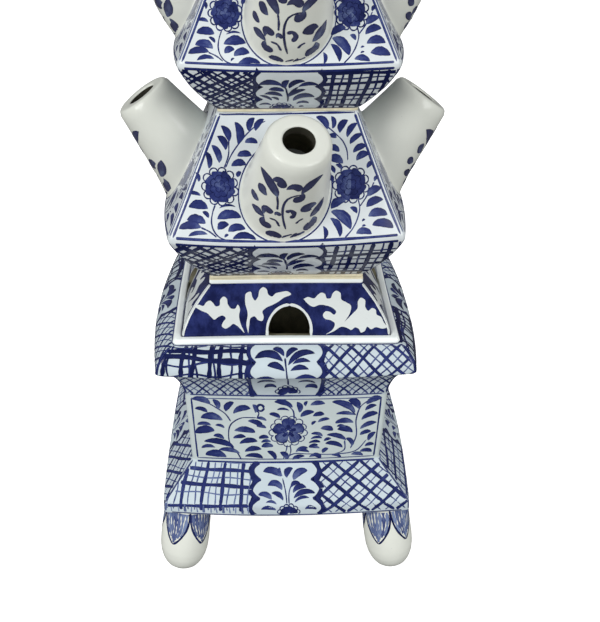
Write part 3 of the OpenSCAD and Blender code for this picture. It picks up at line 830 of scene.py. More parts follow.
PEDESTAL_STEMS = (
    ((-36, 1), (-39, 8), (-44, 15), (-46, 26), (-44, 37), (-37, 43), (-23, 44)),
    ((-44, 40), (-48, 47), (-55, 53), (-64, 59)), ((-23, 44), (-22, 49), (-24, 51)),
    ((52, 11), (56, 23), (55.5, 42), (59, 54), (66, 60)),
    ((-1, 2), (5, 7), (18, 7), (40, 6), (57, 9), (65, 20)), ((6, 42), (5, 51), (-1, 57), (-8, 59)),
    ((40, 6), (47, 10), (47, 20)), ((55, 45), (50, 51), (42, 56)),
)
PEDESTAL_LEAVES = (
    (-60, 56, -74, 60.5, 5.5), (-50.5, 41, -68, 42.5, 7), (-57, 30, -72.5, 27, 8),
    (-49.5, 33, -56, 36, 3), (-49.5, 22, -58, 25, 4), (-42, 13.5, -66, 19, 6), (-37, 7.5, -54, 11, 4.5),
    (-48, 3.5, -65.5, 5.5, 7), (-54, 51.5, -58, 61, 4.5), (-47.5, 50, -41, 58.5, 5),
    (-41.5, 47.5, -28.5, 52.5, 5.5), (-30.5, 40.5, -19, 35, 5), (-41, 30.5, -24.5, 29.5, 6),
    (-42, 23.5, -32.5, 24.5, 4), (-37, 17.5, -23, 20, 5), (-33, 10, -20, 12.5, 5),
    (-33, 5, -18.5, 3, 4.5), (-25, 49, -26.5, 56.5, 3.5), (4.5, 54, -9.5, 59, 5),
    (10, 49, 8.5, 59.5, 4.5), (15.5, 55, 16.5, 60, 2.5), (19, 56, 30, 57.5, 4), (11, 45, 22, 49.5, 4.5),
    (21, 45.5, 30, 47, 4), (2, 51, -7.5, 51.5, 2), (-5, 44, -13.5, 48, 4), (-14, 24, -22, 23, 4),
    (-10.5, 15, -20, 15, 4.5), (-8.5, 1.5, -15, 10, 4.5), (1, 2, -5, 9, 5), (18.5, 8.5, 10.5, 10, 3),
    (27, 12.5, 19, 13.5, 3), (21, 6.5, 28.5, 2, 4.5), (29.5, 7.5, 34, 12.5, 4), (37, 5, 45, 2, 3),
    (27, 32.5, 37.5, 30.5, 5), (25, 39.5, 34.5, 42, 3.5), (20, 22.5, 28.5, 22.5, 3),
    (54, 45, 39.5, 46.5, 3.5), (54, 47.5, 35.5, 58.5, 6), (57, 51, 48.5, 60, 6), (63, 55, 75, 60.5, 5.5),
    (62, 49, 71, 53.5, 4), (59.5, 40, 73, 45.5, 5), (59, 31, 72, 37, 4.5), (59, 24.5, 68, 27.5, 4),
    (53, 37.5, 39, 38, 5), (53, 28, 41, 31, 5.5), (48, 20, 32.5, 26, 4.5), (46, 12.5, 31.5, 17.5, 4.5),
    (53, 14, 48, 22, 4), (66, 18.5, 71.5, 27, 4), (64, 12.5, 71, 14, 3.5), (60, 7.5, 70, 6.5, 4),
    (53, 4.5, 63, 3, 3.5), (-16, 34, -24, 35.5, 3.5), (20, 36.5, 23.5, 40, 2.5), (29, 25, 20, 27.5, 3),
    (18, 18.5, 27.5, 19, 3), (18, 14, 26, 15.5, 3), (8, 9.5, 17.5, 13, 3.5), (5.5, 1.5, 15, 5, 4),
    (30, 20, 36, 22.5, 3), (19, 3.5, 28, 4.5, 3), (-16, 41, -24, 43.5, 3), (-12, 20, -20, 19.5, 3),
    (-57, 13, -68, 12.5, 3.5), (-62, 48, -72, 51.5, 4), (-60, 35.5, -71, 35.5, 4),
    (47, 33.5, 40, 34.5, 3),
)


def paint_pedestal(brush, panel, high):
    """Pedestal side: a five-petalled flower between two leafy stems, inside a line border."""
    hip_lines(brush, panel, 4.6, 2.2, high - 2.2, 1.3, 0.25)
    level_line(brush, panel, 2.2, 1.0, 0.4, 4.6)
    level_line(brush, panel, high - 2.2, 0.9, 0.5, 4.6)
    for stem in PEDESTAL_STEMS:
        brush.lines(panel, curve(stem, LONG), 1.35, 0.3)
    brush.foliage(panel, PEDESTAL_LEAVES, 1.0, 0.24, 0.7, 1.08)
    flower = np.array([1.5, 30.5])
    angle = np.radians([88, 158, 18, 230, 308])
    out = rays(angle)
    brush.leaves(panel, flower + out * 0.8, flower + out * 12.4, 10.0, 0.04, 0.40, 1, 0.3, 0)
    brush.leaves(panel, flower + out * 0.5, flower + out * 6.5, 4.6, 0.04, 0.16, 2, 0.3, 0)
    brush.scallops(panel, flower, 2.0, 3.6, 5, 0.2, 6.28, 0.9, 0.0, 3)
    brush.scallops(panel, flower, 8.4, 12.6, 5, 0.92, 6.28, 0.9, 0.12, 3)
    brush.scallops(panel, flower, 12.2, 15.2, 13, 0.1, 6.28, 0.9, 0.3)
    for stem in (((1, 17), (0, 10), (-2, 2)), ((3, 17), (4, 11), (1.5, 2))):
        brush.lines(panel, curve(stem, SHORT), 1.0, 0.3)
    ring = np.linspace(0, 6.28, LONG)
    bud = np.stack([-20.5 + 2.6 * np.cos(ring), 53.5 + 3.0 * np.sin(ring)], axis=1)
    brush.lines(panel, bud, 2.0, 0.2)


WHITE_LEAVES = (
    ((-69, 23.5), (-66, 25), (-62.5, 24), (-60, 27), (-57.5, 28), (-55, 26), (-53, 23.5), (-50.5, 24),
     (-49.5, 29), (-47, 31), (-45, 29.5), (-44, 25), (-41, 21.5), (-38.5, 21.5), (-36.5, 24.5),
     (-35, 22), (-35.5, 16), (-34.5, 10.5), (-31.5, 3), (-37, 8.5), (-40, 10), (-42.5, 8), (-46, 6.5),
     (-48.5, 8.5), (-47.5, 11.5), (-45.5, 14.5), (-48, 16.5), (-51, 15.5), (-54, 13.5), (-57, 16),
     (-59.5, 18.5), (-63, 20)),
    ((-28.5, 2.5), (-30, 9), (-29, 17), (-31, 27), (-30, 33.5), (-27, 34.5), (-25.5, 30), (-23.5, 27.5),
     (-21.5, 30), (-20, 36), (-17.5, 38), (-15, 36.5), (-13.5, 32), (-11, 30.5), (-8, 33), (-4, 34),
     (1, 34.5), (3.5, 32.5), (-2, 29.5), (-6, 26.5), (-10.5, 24), (-15, 22), (-18, 19), (-17, 15),
     (-18, 12), (-21, 12.5), (-24, 15.5), (-26.5, 14.5), (-27.8, 9)),
    ((13, 28.5), (16, 30), (21, 29), (24, 32), (26.5, 33.5), (29, 32.5), (30.5, 29), (33, 29), (35, 33),
     (37.5, 35), (40.5, 33.5), (41.5, 28), (45, 26), (48.5, 23.5), (48, 18.5), (45, 13), (40, 7.5),
     (30, 1.5), (35.5, 6), (36.5, 10), (33, 12.5), (29, 13.5), (27.5, 16), (29.5, 19), (33, 18.5),
     (36, 16.5), (37.5, 18.5), (35, 21.5), (30, 23.5), (25, 24), (20.5, 22.5), (15, 26)),
    ((30.5, 1.5), (37, 5.5), (44, 11.5), (50, 17.5), (53.5, 21.5), (54, 27), (56, 29.5), (59, 28),
     (59.5, 22), (61.5, 19.5), (64.5, 21.5), (67, 20.5), (68, 16.5), (71, 15), (73.5, 10.5), (76, 7),
     (73, 6), (67, 7), (64, 5.5), (61, 7.5), (59, 4), (56.5, 3), (54.5, 6), (52, 7), (49, 5), (46, 6.5),
     (42, 7.5), (36, 4)),
)


def within(points, outline):
    """Which points lie inside a closed outline: where a line to the right meets it an odd number of times."""
    points = points[:, None]
    near, far = outline[None], np.roll(outline, -1, axis=0)[None]
    spans = (near[..., 1] > points[..., 1]) != (far[..., 1] > points[..., 1])
    rise = np.where(spans, far[..., 1] - near[..., 1], 1)
    meets = near[..., 0] + (points[..., 1] - near[..., 1]) / rise * (far[..., 0] - near[..., 0])
    return (spans & (meets > points[..., 0])).sum(axis=1) % 2 == 1


def filled(outline):
    """Points and triangles that fill a closed outline: its own points, and a grid of points inside it."""
    gap = 3.0
    low, high = outline.min(axis=0), outline.max(axis=0)
    ticks = [np.arange(start, stop, gap) for start, stop in zip(low, high)]
    grid = np.stack(np.meshgrid(*ticks), axis=-1).reshape(-1, 2)
    clear = np.linalg.norm(grid[:, None] - outline[None], axis=-1).min(axis=1) > 0.4 * gap
    points = np.concatenate([outline, grid[clear & within(grid, outline)]])
    order = np.arange(len(outline))
    border = np.stack([order, np.roll(order, -1)], axis=1)
    found = delaunay_2d_cdt(points.tolist(), border.tolist(), [], 0, 1e-6, False)
    flat, triangles = np.array(found[0]), np.array(found[2])
    return flat, triangles[within(flat[triangles].mean(axis=1), outline)]


def cover_leaves(panel):
    """Points and triangles of the white leaves on one slope, each a smooth closed line that is filled.

    The edge of a leaf lies just under the glaze and its inside just over it.
    """
    points, faces, start = [], [], 0
    for leaf in WHITE_LEAVES:
        outline = curve((*leaf, leaf[0]), 6 * len(leaf))[:-1]
        flat, triangles = filled(outline)
        edge = np.linalg.norm(flat[:, None] - outline[None], axis=-1).min(axis=1) < 1e-3
        points.append(panel.place(flat[:, 0], flat[:, 1], np.where(edge, -0.03, 0.06))[0])
        faces.append(triangles + start)
        start += len(flat)
    return np.concatenate(points), np.concatenate(faces)


def paint_cover(white, panel, high, arch, base):
    """Cover slope: a white line round the arch and along the hips."""
    for way in (-1, 1):
        b = np.linspace(1.0, high - 1, LONG)
        white.lines(panel, np.stack([way * (panel.half(b) - 1.0), b], axis=1), 1.5, 0.2)
    outline = arch_line(arch, 0.9, 2 * LONG - 1)
    outline[:, 1] = panel.height(base + outline[:, 1])
    for part in (outline[:LONG], outline[LONG - 1:]):
        white.lines(panel, part, 2.0, 0.1, 2)


def arch_line(arch, grow, count):
    """Half-round arch line round an opening of (half width, height, foot, place), grown by a distance."""
    half, tall, foot, aside = arch
    straight = tall - half
    side = np.linspace(0, 1, count)
    turn = np.clip((side - 0.25) / 0.5, 0, 1) * math.pi
    a = aside - (half + grow) * np.cos(turn)
    b = foot + straight * np.minimum(np.minimum(side, 1 - side) / 0.25, 1) + (half + grow) * np.sin(turn)
    return np.stack([a, b], axis=1)


SPRIG_LEAVES = (
    (-32.5, 22.5, -76.5, 35, 8.2, -0.12, 0.9), (-48, 34.5, -31, 31.5, 7.3, 0.5, 0.35),
    (-47, 19, -63.5, 24.5, 7.4, 0.1, 0.4), (-57, 9.5, -74, 12, 5.8, 0.05, 0.6),
    (-22.5, 31.5, -1, 31.5, 6.0, 0.35, 0.35), (1, 28, 37, 39, 6.9, 0.13, 0.9),
    (2.5, 29.5, -10, 23.5, 6.4, 0.35, 0.35), (20, 2.5, 44.5, 13.5, 8.0, -0.04, 0.9),
    (28.5, 12.5, 11.5, 9, 8.6, -0.3, 0.3), (24.5, 0.5, 11, -7, 8.4, 0.35, 0.4),
    (-42, -1, -65, 1.5, 5.8, -0.06, 0.7), (-44, 2, -33.5, 6, 5.8, 0.6, 0.35),
    (-29.5, 5, -22.5, 5.5, 3.2, 0.8, 0.4), (-41.5, -1, -30, -6, 5.8, -0.45, 0.4),
    (-29, -19.5, -16, -16, 6.6, 0.6, 0.4), (12, -10.5, -3, -13.5, 8.5, 0.3, 0.35),
)
SPRIG_STEMS = (
    ((-11.5, -6.5), (-16.5, 1.5), (-20, 9), (-21, 16.5), (-16.5, 23.5), (-8, 26.5), (1, 27.5)),
    ((-33, 23), (-29.5, 17), (-28, 11)), ((0.5, -1), (4, 1.5), (9.5, 3)),
    ((-35, 0.5), (-27.5, 0.5), (-20, -4.5)), ((-15.5, -19.5), (-12.5, -14.5), (-2.5, -11.5)),
)
SPRIG_HOOK = ((-16, 10.5), (-9.5, 12), (-4, 9), (-7.5, 4.5))


def paint_spout(brush, panel, size, turn):
    """Sprig on the outer side of a spout: stems, spear leaves, round bean leaves and a hooked bud.

    Places are given as degrees round the spout and millimetres along it, the whole turned by some degrees.
    """
    scale = np.array([math.radians(1) * panel.mean, size])
    aside = np.array([turn, 0])
    for stem in SPRIG_STEMS:
        brush.lines(panel, curve((np.array(stem) + aside) * scale, SHORT), 1.5 * size, 0.2)
    brush.lines(panel, curve((np.array(SPRIG_HOOK) + aside) * scale, SHORT), 3.0 * size, 0.25, 1)
    for leaf in SPRIG_LEAVES:
        ends = (np.array([leaf[0:2], leaf[2:4]]) + aside) * scale + brush.chance.uniform(-0.3, 0.3, (2, 2))
        brush.leaves(panel, ends[:1], ends[1:], leaf[4] * size, leaf[5], 0.25, 1, leaf[6], 0.1)


def paint_foot(dark, panel, top):
    """Pointed leaves that hang from the top of a foot: stripes of blue wash inside a dark outline."""
    count, stripes = 5, 7
    turn = 2 * math.pi * panel.mean / count
    t = np.linspace(0, 1, LONG)
    shape = np.minimum(1, 1.1 - 0.2 * t) * (1 - t ** 2.2) ** 0.85
    for i in range(count):
        middle = (i + 0.5) * turn + 0.14 * panel.mean
        half = turn * 0.49 * shape
        b = top - 0.6 - (29 + dark.chance.uniform(-1.5, 1.5)) * t
        sway = 0.5 * np.sin(3 * t)
        for way in (-1, 1):
            dark.lines(panel, np.stack([middle + sway + way * half, b], axis=1), 1.5, 0.08, 2)
        for k in np.linspace(-0.8, 0.8, stripes):
            keep = slice(1, 1 + int(LONG * 0.92 * (1 - 0.3 * abs(k))))
            stripe = curve(np.stack([middle + sway + k * half, b], axis=1)[keep], LONG)
            wide = 0.72 * half[0] / stripes * dark.waver(1, LONG, 0.3) * np.linspace(1.2, 0.6, LONG)
            dark.strokes(panel, stripe[None], wide, wide, 0.72 + dark.chance.uniform(-0.3, 0.14), 1)


# Finishes

class Finish:
    """A material under way: adds nodes and joins their sockets."""

    def __init__(self, name):
        self.material = bpy.data.materials.new(name)
        self.material.use_nodes = True
        self.tree = self.material.node_tree
        self.tree.nodes.clear()
        self.shader = self.add("ShaderNodeBsdfPrincipled", Specular_IOR_Level=0.3)
        out = self.add("ShaderNodeOutputMaterial")
        self.join(self.shader, "BSDF", out, "Surface")
        self.place = self.add("ShaderNodeTexCoord")

    def add(self, kind, **values):
        """New node with values for its sockets, whose names are written with underscores for spaces."""
        node = self.tree.nodes.new(kind)
        for name, value in values.items():
            node.inputs[name.replace("_", " ")].default_value = value
        return node

    def join(self, a, out, b, into):
        """Links an output of one node to an input of another."""
        self.tree.links.new(a.outputs[out], b.inputs[into])

    def noise(self, scale, detail, roughness=0.5, stretch=None, source=None):
        """Noise in metres of the piece, or of another source, stretched where asked."""
        node = self.add("ShaderNodeTexNoise", Scale=scale, Detail=detail, Roughness=roughness)
        start, socket = source or (self.place, "Object")
        if stretch:
            mapping = self.add("ShaderNodeMapping", Scale=stretch)
            self.join(start, socket, mapping, "Vector")
            start, socket = mapping, "Vector"
        self.join(start, socket, node, "Vector")
        return node

    def ramp(self, source, out, stops):
        """Colour ramp over a value, with stops of (position, colour)."""
        node = self.add("ShaderNodeValToRGB")
        while len(node.color_ramp.elements) < len(stops):
            node.color_ramp.elements.new(0.5)
        for element, (position, colour) in zip(node.color_ramp.elements, stops):
            element.position = position
            element.color = (*colour[:3], 1)
        self.join(source, out, node, "Fac")
        return node

    def sum(self, operation, a, b):
        """Math node over two inputs, each a number or a (node, socket) pair."""
        node = self.tree.nodes.new("ShaderNodeMath")
        node.operation = operation
        for i, value in enumerate((a, b)):
            if isinstance(value, tuple):
                self.tree.links.new(value[0].outputs[value[1]], node.inputs[i])
            else:
                node.inputs[i].default_value = value
        return node

    def blend(self, factor, a, b):
        """Colour between two colours, by a number or a (node, socket) pair."""
        node = self.tree.nodes.new("ShaderNodeMix")
        node.data_type = "RGBA"
        for i, value in ((0, factor), (6, a), (7, b)):
            if isinstance(value, tuple) and len(value) == 2:
                self.tree.links.new(value[0].outputs[value[1]], node.inputs[i])
            else:
                node.inputs[i].default_value = value if i == 0 else (*value[:3], 1)
        return node

    def surface(self, colour, gloss, wave, grain):
        """Colour, gloss that varies a little, and a relief of slow waves and fine grain."""
        self.join(*colour, self.shader, "Base Color")
        spread = self.noise(55, 2)
        rough = self.tree.nodes.new("ShaderNodeMapRange")
        rough.inputs["To Min"].default_value = gloss * 0.75
        rough.inputs["To Max"].default_value = gloss * 1.35
        self.join(spread, "Fac", rough, "Value")
        self.join(rough, "Result", self.shader, "Roughness")
        slow, fine = self.noise(70, 2), self.noise(900, 2)
        height = self.sum("MULTIPLY_ADD", (fine, "Fac"), grain / max(wave, 1e-6))
        self.join(slow, "Fac", height, 2)
        bump = self.add("ShaderNodeBump", Strength=1.0, Distance=wave * 0.001)
        self.join(height, "Value", bump, "Height")
        self.join(bump, "Normal", self.shader, "Normal")
        return self.material


def pale_glaze(name, colour, warm, cool, gloss):
    """Tin glaze: a pale ground with warm and cool clouds, faint specks, and a gloss that varies."""
    f = Finish(name)
    clouds = f.noise(16, 4, 0.6)
    tint = f.ramp(clouds, "Fac", ((0.30, cool), (0.52, colour), (0.74, warm)))
    specks = f.add("ShaderNodeTexVoronoi", Scale=150.0, Randomness=1.0)
    f.join(f.place, "Object", specks, "Vector")
    few = f.ramp(specks, "Distance", ((0.03, (0.35, 0.35, 0.35)), (0.07, (0, 0, 0))))
    where = f.noise(60, 1)
    dots = f.sum("MULTIPLY", (few, "Color"), (where, "Fac"))
    base = f.blend((dots, "Value"), (tint, "Color"), (0.30, 0.31, 0.33))
    return f.surface((base, 2), gloss, 0.10, 0.006)


def brush_glaze(name, dark, middle, pale):
    """Painted colour from a stroke's tone: streaked along the brush, pooled at its edges, clouded."""
    f = Finish(name)
    tone = f.add("ShaderNodeAttribute")
    tone.attribute_name = "tone"
    brush = f.add("ShaderNodeUVMap")
    brush.uv_map = "brush"
    streak = f.noise(3.0, 3, 0.6, (0.9, 9.0, 1.0), (brush, "UV"))
    cloud = f.noise(170, 3, 0.6)
    split = f.add("ShaderNodeSeparateXYZ")
    f.join(brush, "UV", split, "Vector")
    across = f.sum("SUBTRACT", (f.sum("FRACT", (split, "Y"), 0), "Value"), 0.5)
    edge = f.sum("POWER", (f.sum("ABSOLUTE", (across, "Value"), 0), "Value"), 3)
    value = f.sum("ADD", (tone, "Fac"), -0.50)
    for node, socket, share in ((streak, "Fac", 0.58), (cloud, "Fac", 0.50), (edge, "Value", -1.4)):
        more = f.sum("MULTIPLY_ADD", (node, socket), share)
        f.join(value, "Value", more, 2)
        value = more
    colour = f.ramp(value, "Value", ((0.0, dark), (0.36, middle), (1.0, pale)))
    return f.surface((colour, "Color"), GLAZE_GLOSS, 0.10, 0.006)


def cobalt_ground(name, dark, middle, pale):
    """Blue ground laid in dabs: cells and stretched noise between dark and middle blue, thin spots paler."""
    f = Finish(name)
    dabs = f.add("ShaderNodeTexVoronoi", Scale=95.0, Randomness=1.0)
    dabs.feature = "SMOOTH_F1"
    f.join(f.place, "Object", dabs, "Vector")
    streak = f.noise(150, 4, 0.65, (1.0, 1.0, 0.55))
    value = f.sum("MULTIPLY_ADD", (dabs, "Distance"), 0.42)
    f.join(f.sum("ADD", (streak, "Fac"), -0.28), "Value", value, 2)
    colour = f.ramp(value, "Value", ((0.26, dark), (0.70, middle), (1.0, pale)))
    return f.surface((colour, "Color"), GLAZE_GLOSS, 0.10, 0.006)


def bare_clay(name, light, deep):
    """Unglazed clay: two earthy tones in fine cloudy grain, matte."""
    f = Finish(name)
    clouds = f.noise(120, 5, 0.65)
    colour = f.ramp(clouds, "Fac", ((0.32, deep), (0.68, light)))
    return f.surface((colour, "Color"), CLAY_GLOSS, 0.12, 0.08)


# Settings

def number(label, words, value, **more):
    """Setting that is one number."""
    return bpy.props.FloatProperty(name=label, description=words, default=value, **more)


def length(label, words, millimetres):
    """Setting that is a length."""
    return number(label, words, millimetres * 0.001, unit="LENGTH")


def angle(label, words, degrees):
    """Setting that is an angle."""
    return number(label, words, math.radians(degrees), unit="ROTATION")


def triple(label, words, value, **more):
    """Setting of three numbers."""
    return bpy.props.FloatVectorProperty(name=label, description=words, default=value, size=3, **more)


def colour(label, words, value):
    """Setting that is a colour."""
    return triple(label, words, value, subtype="COLOR", min=0, max=1)


class VaseWalls(bpy.types.PropertyGroup):
    """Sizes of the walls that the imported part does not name."""
    foot: length("Foot Radius", "Largest radius of a foot", 19.8)
    foot_lean: angle("Foot Lean", "Outward lean of a foot", 7)
    wall: length("Wall", "Wall of the base and the tiers", 5)
    edge: length("Edge Softness", "How far the glaze rounds off the edges", 1.4)
    corner: length("Corner Rounding", "Rounding of the walls' upright corners", 2.4)
    rim: length("Rim Breadth", "Breadth of the white rim round the cover", 6)
    ring: length("Mouth Ring", "Breadth of the ring round each mouth", 10)
    spigot: length("Spigot Wall", "Wall of the spigot under each tier", 4.5)
    arch_width: length("Arch Width", "Width of the arched opening in the cover", 31.4)
    arch_height: length("Arch Height", "Height of the arched opening over the cover's foot", 20.8)
    arch_aside: length("Arch Place", "How far an arch stands off the middle of its side", 2.3)
    fullness: number("Cover Fullness", "Rounding of the cover's slopes; 1 is straight", 1.7, min=1, max=2)
    swell: length("Bowl Swell", "Swelling of the bowls' sides", 2.6)


class VaseSpouts(bpy.types.PropertyGroup):
    """Sizes of a first-tier spout."""
    reach: length("Length", "Length of the spout's axis outside the roof", 53)
    end: length("End Radius", "Outer radius at the end", 22.1)
    root: length("Root Radius", "Outer radius where the axis meets the roof", 30.8)
    rounding: length("End Rounding", "Rounding of the end", 3.5)
    wall: length("Spout Wall", "Wall of a spout", 5.5)
    hole: length("First Stem Hole", "Radius of the stem hole that the other sizes belong to", 11)
    passage: length("Passage Radius", "Radius of the hole through the roof under a spout", 17)


class VaseColours(bpy.types.PropertyGroup):
    """Colours of the glazes and the clay."""
    ground: colour("Tier Ground", "Pale ground of the tiers", (0.67, 0.72, 0.74))
    # The rims' lighter white is painted light: the same white glaze as the leaves, made brighter
    white: colour("White", "White of the cover's leaves; the rims are lighter", (0.66, 0.70, 0.69))
    base: colour("Base Ground", "Bluer ground of plinth and tray", (0.56, 0.645, 0.69))
    pedestal: colour("Pedestal Ground", "Greener ground of the pedestal", (0.60, 0.675, 0.675))
    # The feet's lighter ivory is painted light: the same glaze as the spouts, made brighter
    ivory: colour("Ivory", "Glaze of the spouts; the feet are lighter", (0.68, 0.70, 0.64))
    cobalt: colour("Cobalt", "Darkest blue", (0.006, 0.010, 0.060))
    middle: colour("Middle Blue", "Blue of most strokes", (0.026, 0.038, 0.165))
    wash: colour("Wash", "Pale blue of thin paint", (0.26, 0.34, 0.54))
    violet: colour("Violet", "Darker sprigs on the spouts", (0.042, 0.046, 0.105))
    clay: colour("Clay", "Bare clay of the foot strips", (0.80, 0.74, 0.54))
    inside: colour("Inside", "Bare clay inside", (0.24, 0.225, 0.15))


class VaseStage(bpy.types.PropertyGroup):
    """Light and view."""
    sky: number("Surround", "Strength of the even light", 0.38, min=0)
    key: number("Key Light", "Mean power of the side lamps", 16, unit="POWER")
    balance: number("Balance", "Share by which the left lamp is stronger", 0.2)
    floor: number("Floor Glow", "Light given by the floor", 0.75, min=0)
    focal: number("Focal Length", "Lens of the view", 56.3, unit="CAMERA")
    pitch: angle("Pitch", "Downward angle of the view", 28.28)
    turn: angle("Turn", "Turn of the view round the vase's axis", -1.2)
    shift: number("Shift", "Sideways shift of the lens", 0.025)
    eye: triple("Eye", "Place of the camera", (-0.0150, -0.7172, 0.5774), unit="LENGTH")


def finishes():
    """The materials of the vase, made at their first use.

    A pale glaze is given by a colour and by the shares of it that make the ground and its warm and cool
    clouds.
    """
    c = bpy.context.scene.vase_colours
    known = bpy.data.materials

    def share(value, k):
        return tuple(min(v * k, 1) for v in value)

    def pale(value, ground, warm, cool, gloss=GLAZE_GLOSS):
        return lambda n: pale_glaze(n, share(value, ground), share(value, warm), share(value, cool), gloss)

    recipes = {
        "painted_ground": pale(c.ground, 1, 1.06, 0.90),
        "base_ground": pale(c.base, 1, 1.05, 0.91),
        "pedestal_ground": pale(c.pedestal, 1, 1.06, 0.92),
        "spout_ground": pale(c.ivory, 1, 1.05, 0.93, 0.18),
        # Painted light and shade: the feet and the knob have the same ivory glaze as the spouts, only 1.18
        # times brighter
        "foot_ground": pale(c.ivory, 1.18, 1.24, 1.1, 0.18),
        "cobalt_brush": lambda n: brush_glaze(n, c.cobalt, c.middle, c.wash),
        "violet_brush": lambda n: brush_glaze(n, share(c.violet, 0.6), c.violet, share(c.wash, 0.8)),
        "cobalt_ground": lambda n: cobalt_ground(n, c.cobalt, c.middle, share(c.wash, 0.6)),
        "white_reserve": pale(c.white, 1, 1.04, 0.94),
        # Painted light and shade: one white glaze, 1.35 times brighter on the rims and collar than on the
        # cover's leaves
        "white_rim": pale(c.white, 1.35, 1.4, 1.28),
        "strip_clay": lambda n: bare_clay(n, c.clay, share(c.clay, 0.78)),
        "inner_clay": lambda n: bare_clay(n, c.inside, share(c.inside, 0.6)),
        # Near-black copy of the inside clay for the spouts' stem holes: painted shade, standing in for the
        # dark inside the hole
        "hole_clay": lambda n: bare_clay(n, share(c.inside, 0.14), share(c.inside, 0.09)),
    }
    return {name: known.get(name) or make(name) for name, make in recipes.items()}


def sizes(group):
    """Values of a settings group times 1000, which gives its lengths in millimetres."""
    return {name: getattr(group, name) * 1000 for name in group.__annotations__}


# Pieces

def clay_strip(body, low, high, half, f):
    """Bare clay strip with rounded edges under a tier or the finial."""
    inside = half - STRIP_BREADTH
    rows = soften([
        (inside, low, 0, 1.5, 0), (half - 0.2, low, 0, 2.4, 0.8),
        (half - 0.2, high, 0, 2.4, 0.8), (inside, high, 0, 1.5, 0),
    ])
    name = body + "_foot_strip"
    seat(form(name + "_clay", wall_rings(rows), True, [f["strip_clay"]]), body, "bare_clay", name)


def spigot_rows(half, start, floor, low, high, v):
    """Rows under a unit: its hollow spigot from a start level down to its floor, and its strip's inside."""
    plug = half - v["ring"] - SPIGOT_GAP
    hollow, inside = plug - v["spigot"], half - STRIP_BREADTH
    return soften([
        (hollow, start, 0, 1.5, 0), (hollow, floor, 0, 1.5, 0.8), (plug, floor, 0, 1.5, 0.8),
        (plug, low, 0, 1.5, 0), (inside, low, 0, 1.5, 0), (inside, high, 0, 1.5, 0),
    ])


# Shape of a foot: share of its height, share of its largest radius
FOOT_PROFILE = (
    (0, 0.42), (0.004, 0.50), (0.02, 0.60), (0.06, 0.73), (0.12, 0.84), (0.2, 0.93), (0.3, 0.985), (0.42, 1),
    (0.55, 0.995), (0.7, 0.975), (0.85, 0.95), (1, 0.92),
)


class FeetOperator(bpy.types.Operator):
    """Four egg-shaped feet that lean outwards, with painted leaves at the top."""
    bl_idname = "vase.feet"
    bl_label = "Feet"

    def execute(self, context):
        f = finishes()
        belly = sizes(context.scene.vase_walls)["foot"]
        level, wide = np.transpose(FOOT_PROFILE)
        fine = np.concatenate([[0, 0.002], np.linspace(0.004, 1, 40), [1]])
        shape = np.interp(fine, level, wide)
        shape[[0, -1]] = 0.2
        start = np.array([0, -1.0, 0])
        for i, place in enumerate(("front_left", "front_right", "rear_right", "rear_left")):
            name = "foot_" + place
            tall = extent(name)[1][2]
            base = mount(name + "_underside")[0]
            lean = -np.sign(base[:2]) * math.tan(context.scene.vase_walls.foot_lean)
            axis = np.array([*lean, 1.0])
            profile = np.stack([belly * shape, tall * fine], axis=1)
            rings = hand_made(round_rings(profile, base, axis, start))
            rings[..., 2] = np.maximum(rings[..., 2], 0)
            # The feet take the brighter copy of the ivory glaze, painted light
            foot = form(name + "_glazed", rings, False, [f["foot_ground"]])
            seat(foot, "base", "ivory_glaze", name)
            radius = lambda b: belly * np.interp(b / tall, level, wide)
            panel = RoundPanel(base, axis, start, radius, belly * 0.9)
            panel.raised = 0.08
            dark = Brush(SEEDS["foot"] + i)
            paint_foot(dark, panel, tall - 0.5)
            seat(dark.lay(name + "_leaves", f["cobalt_brush"]), "base", "ivory_glaze")
        return {"FINISHED"}


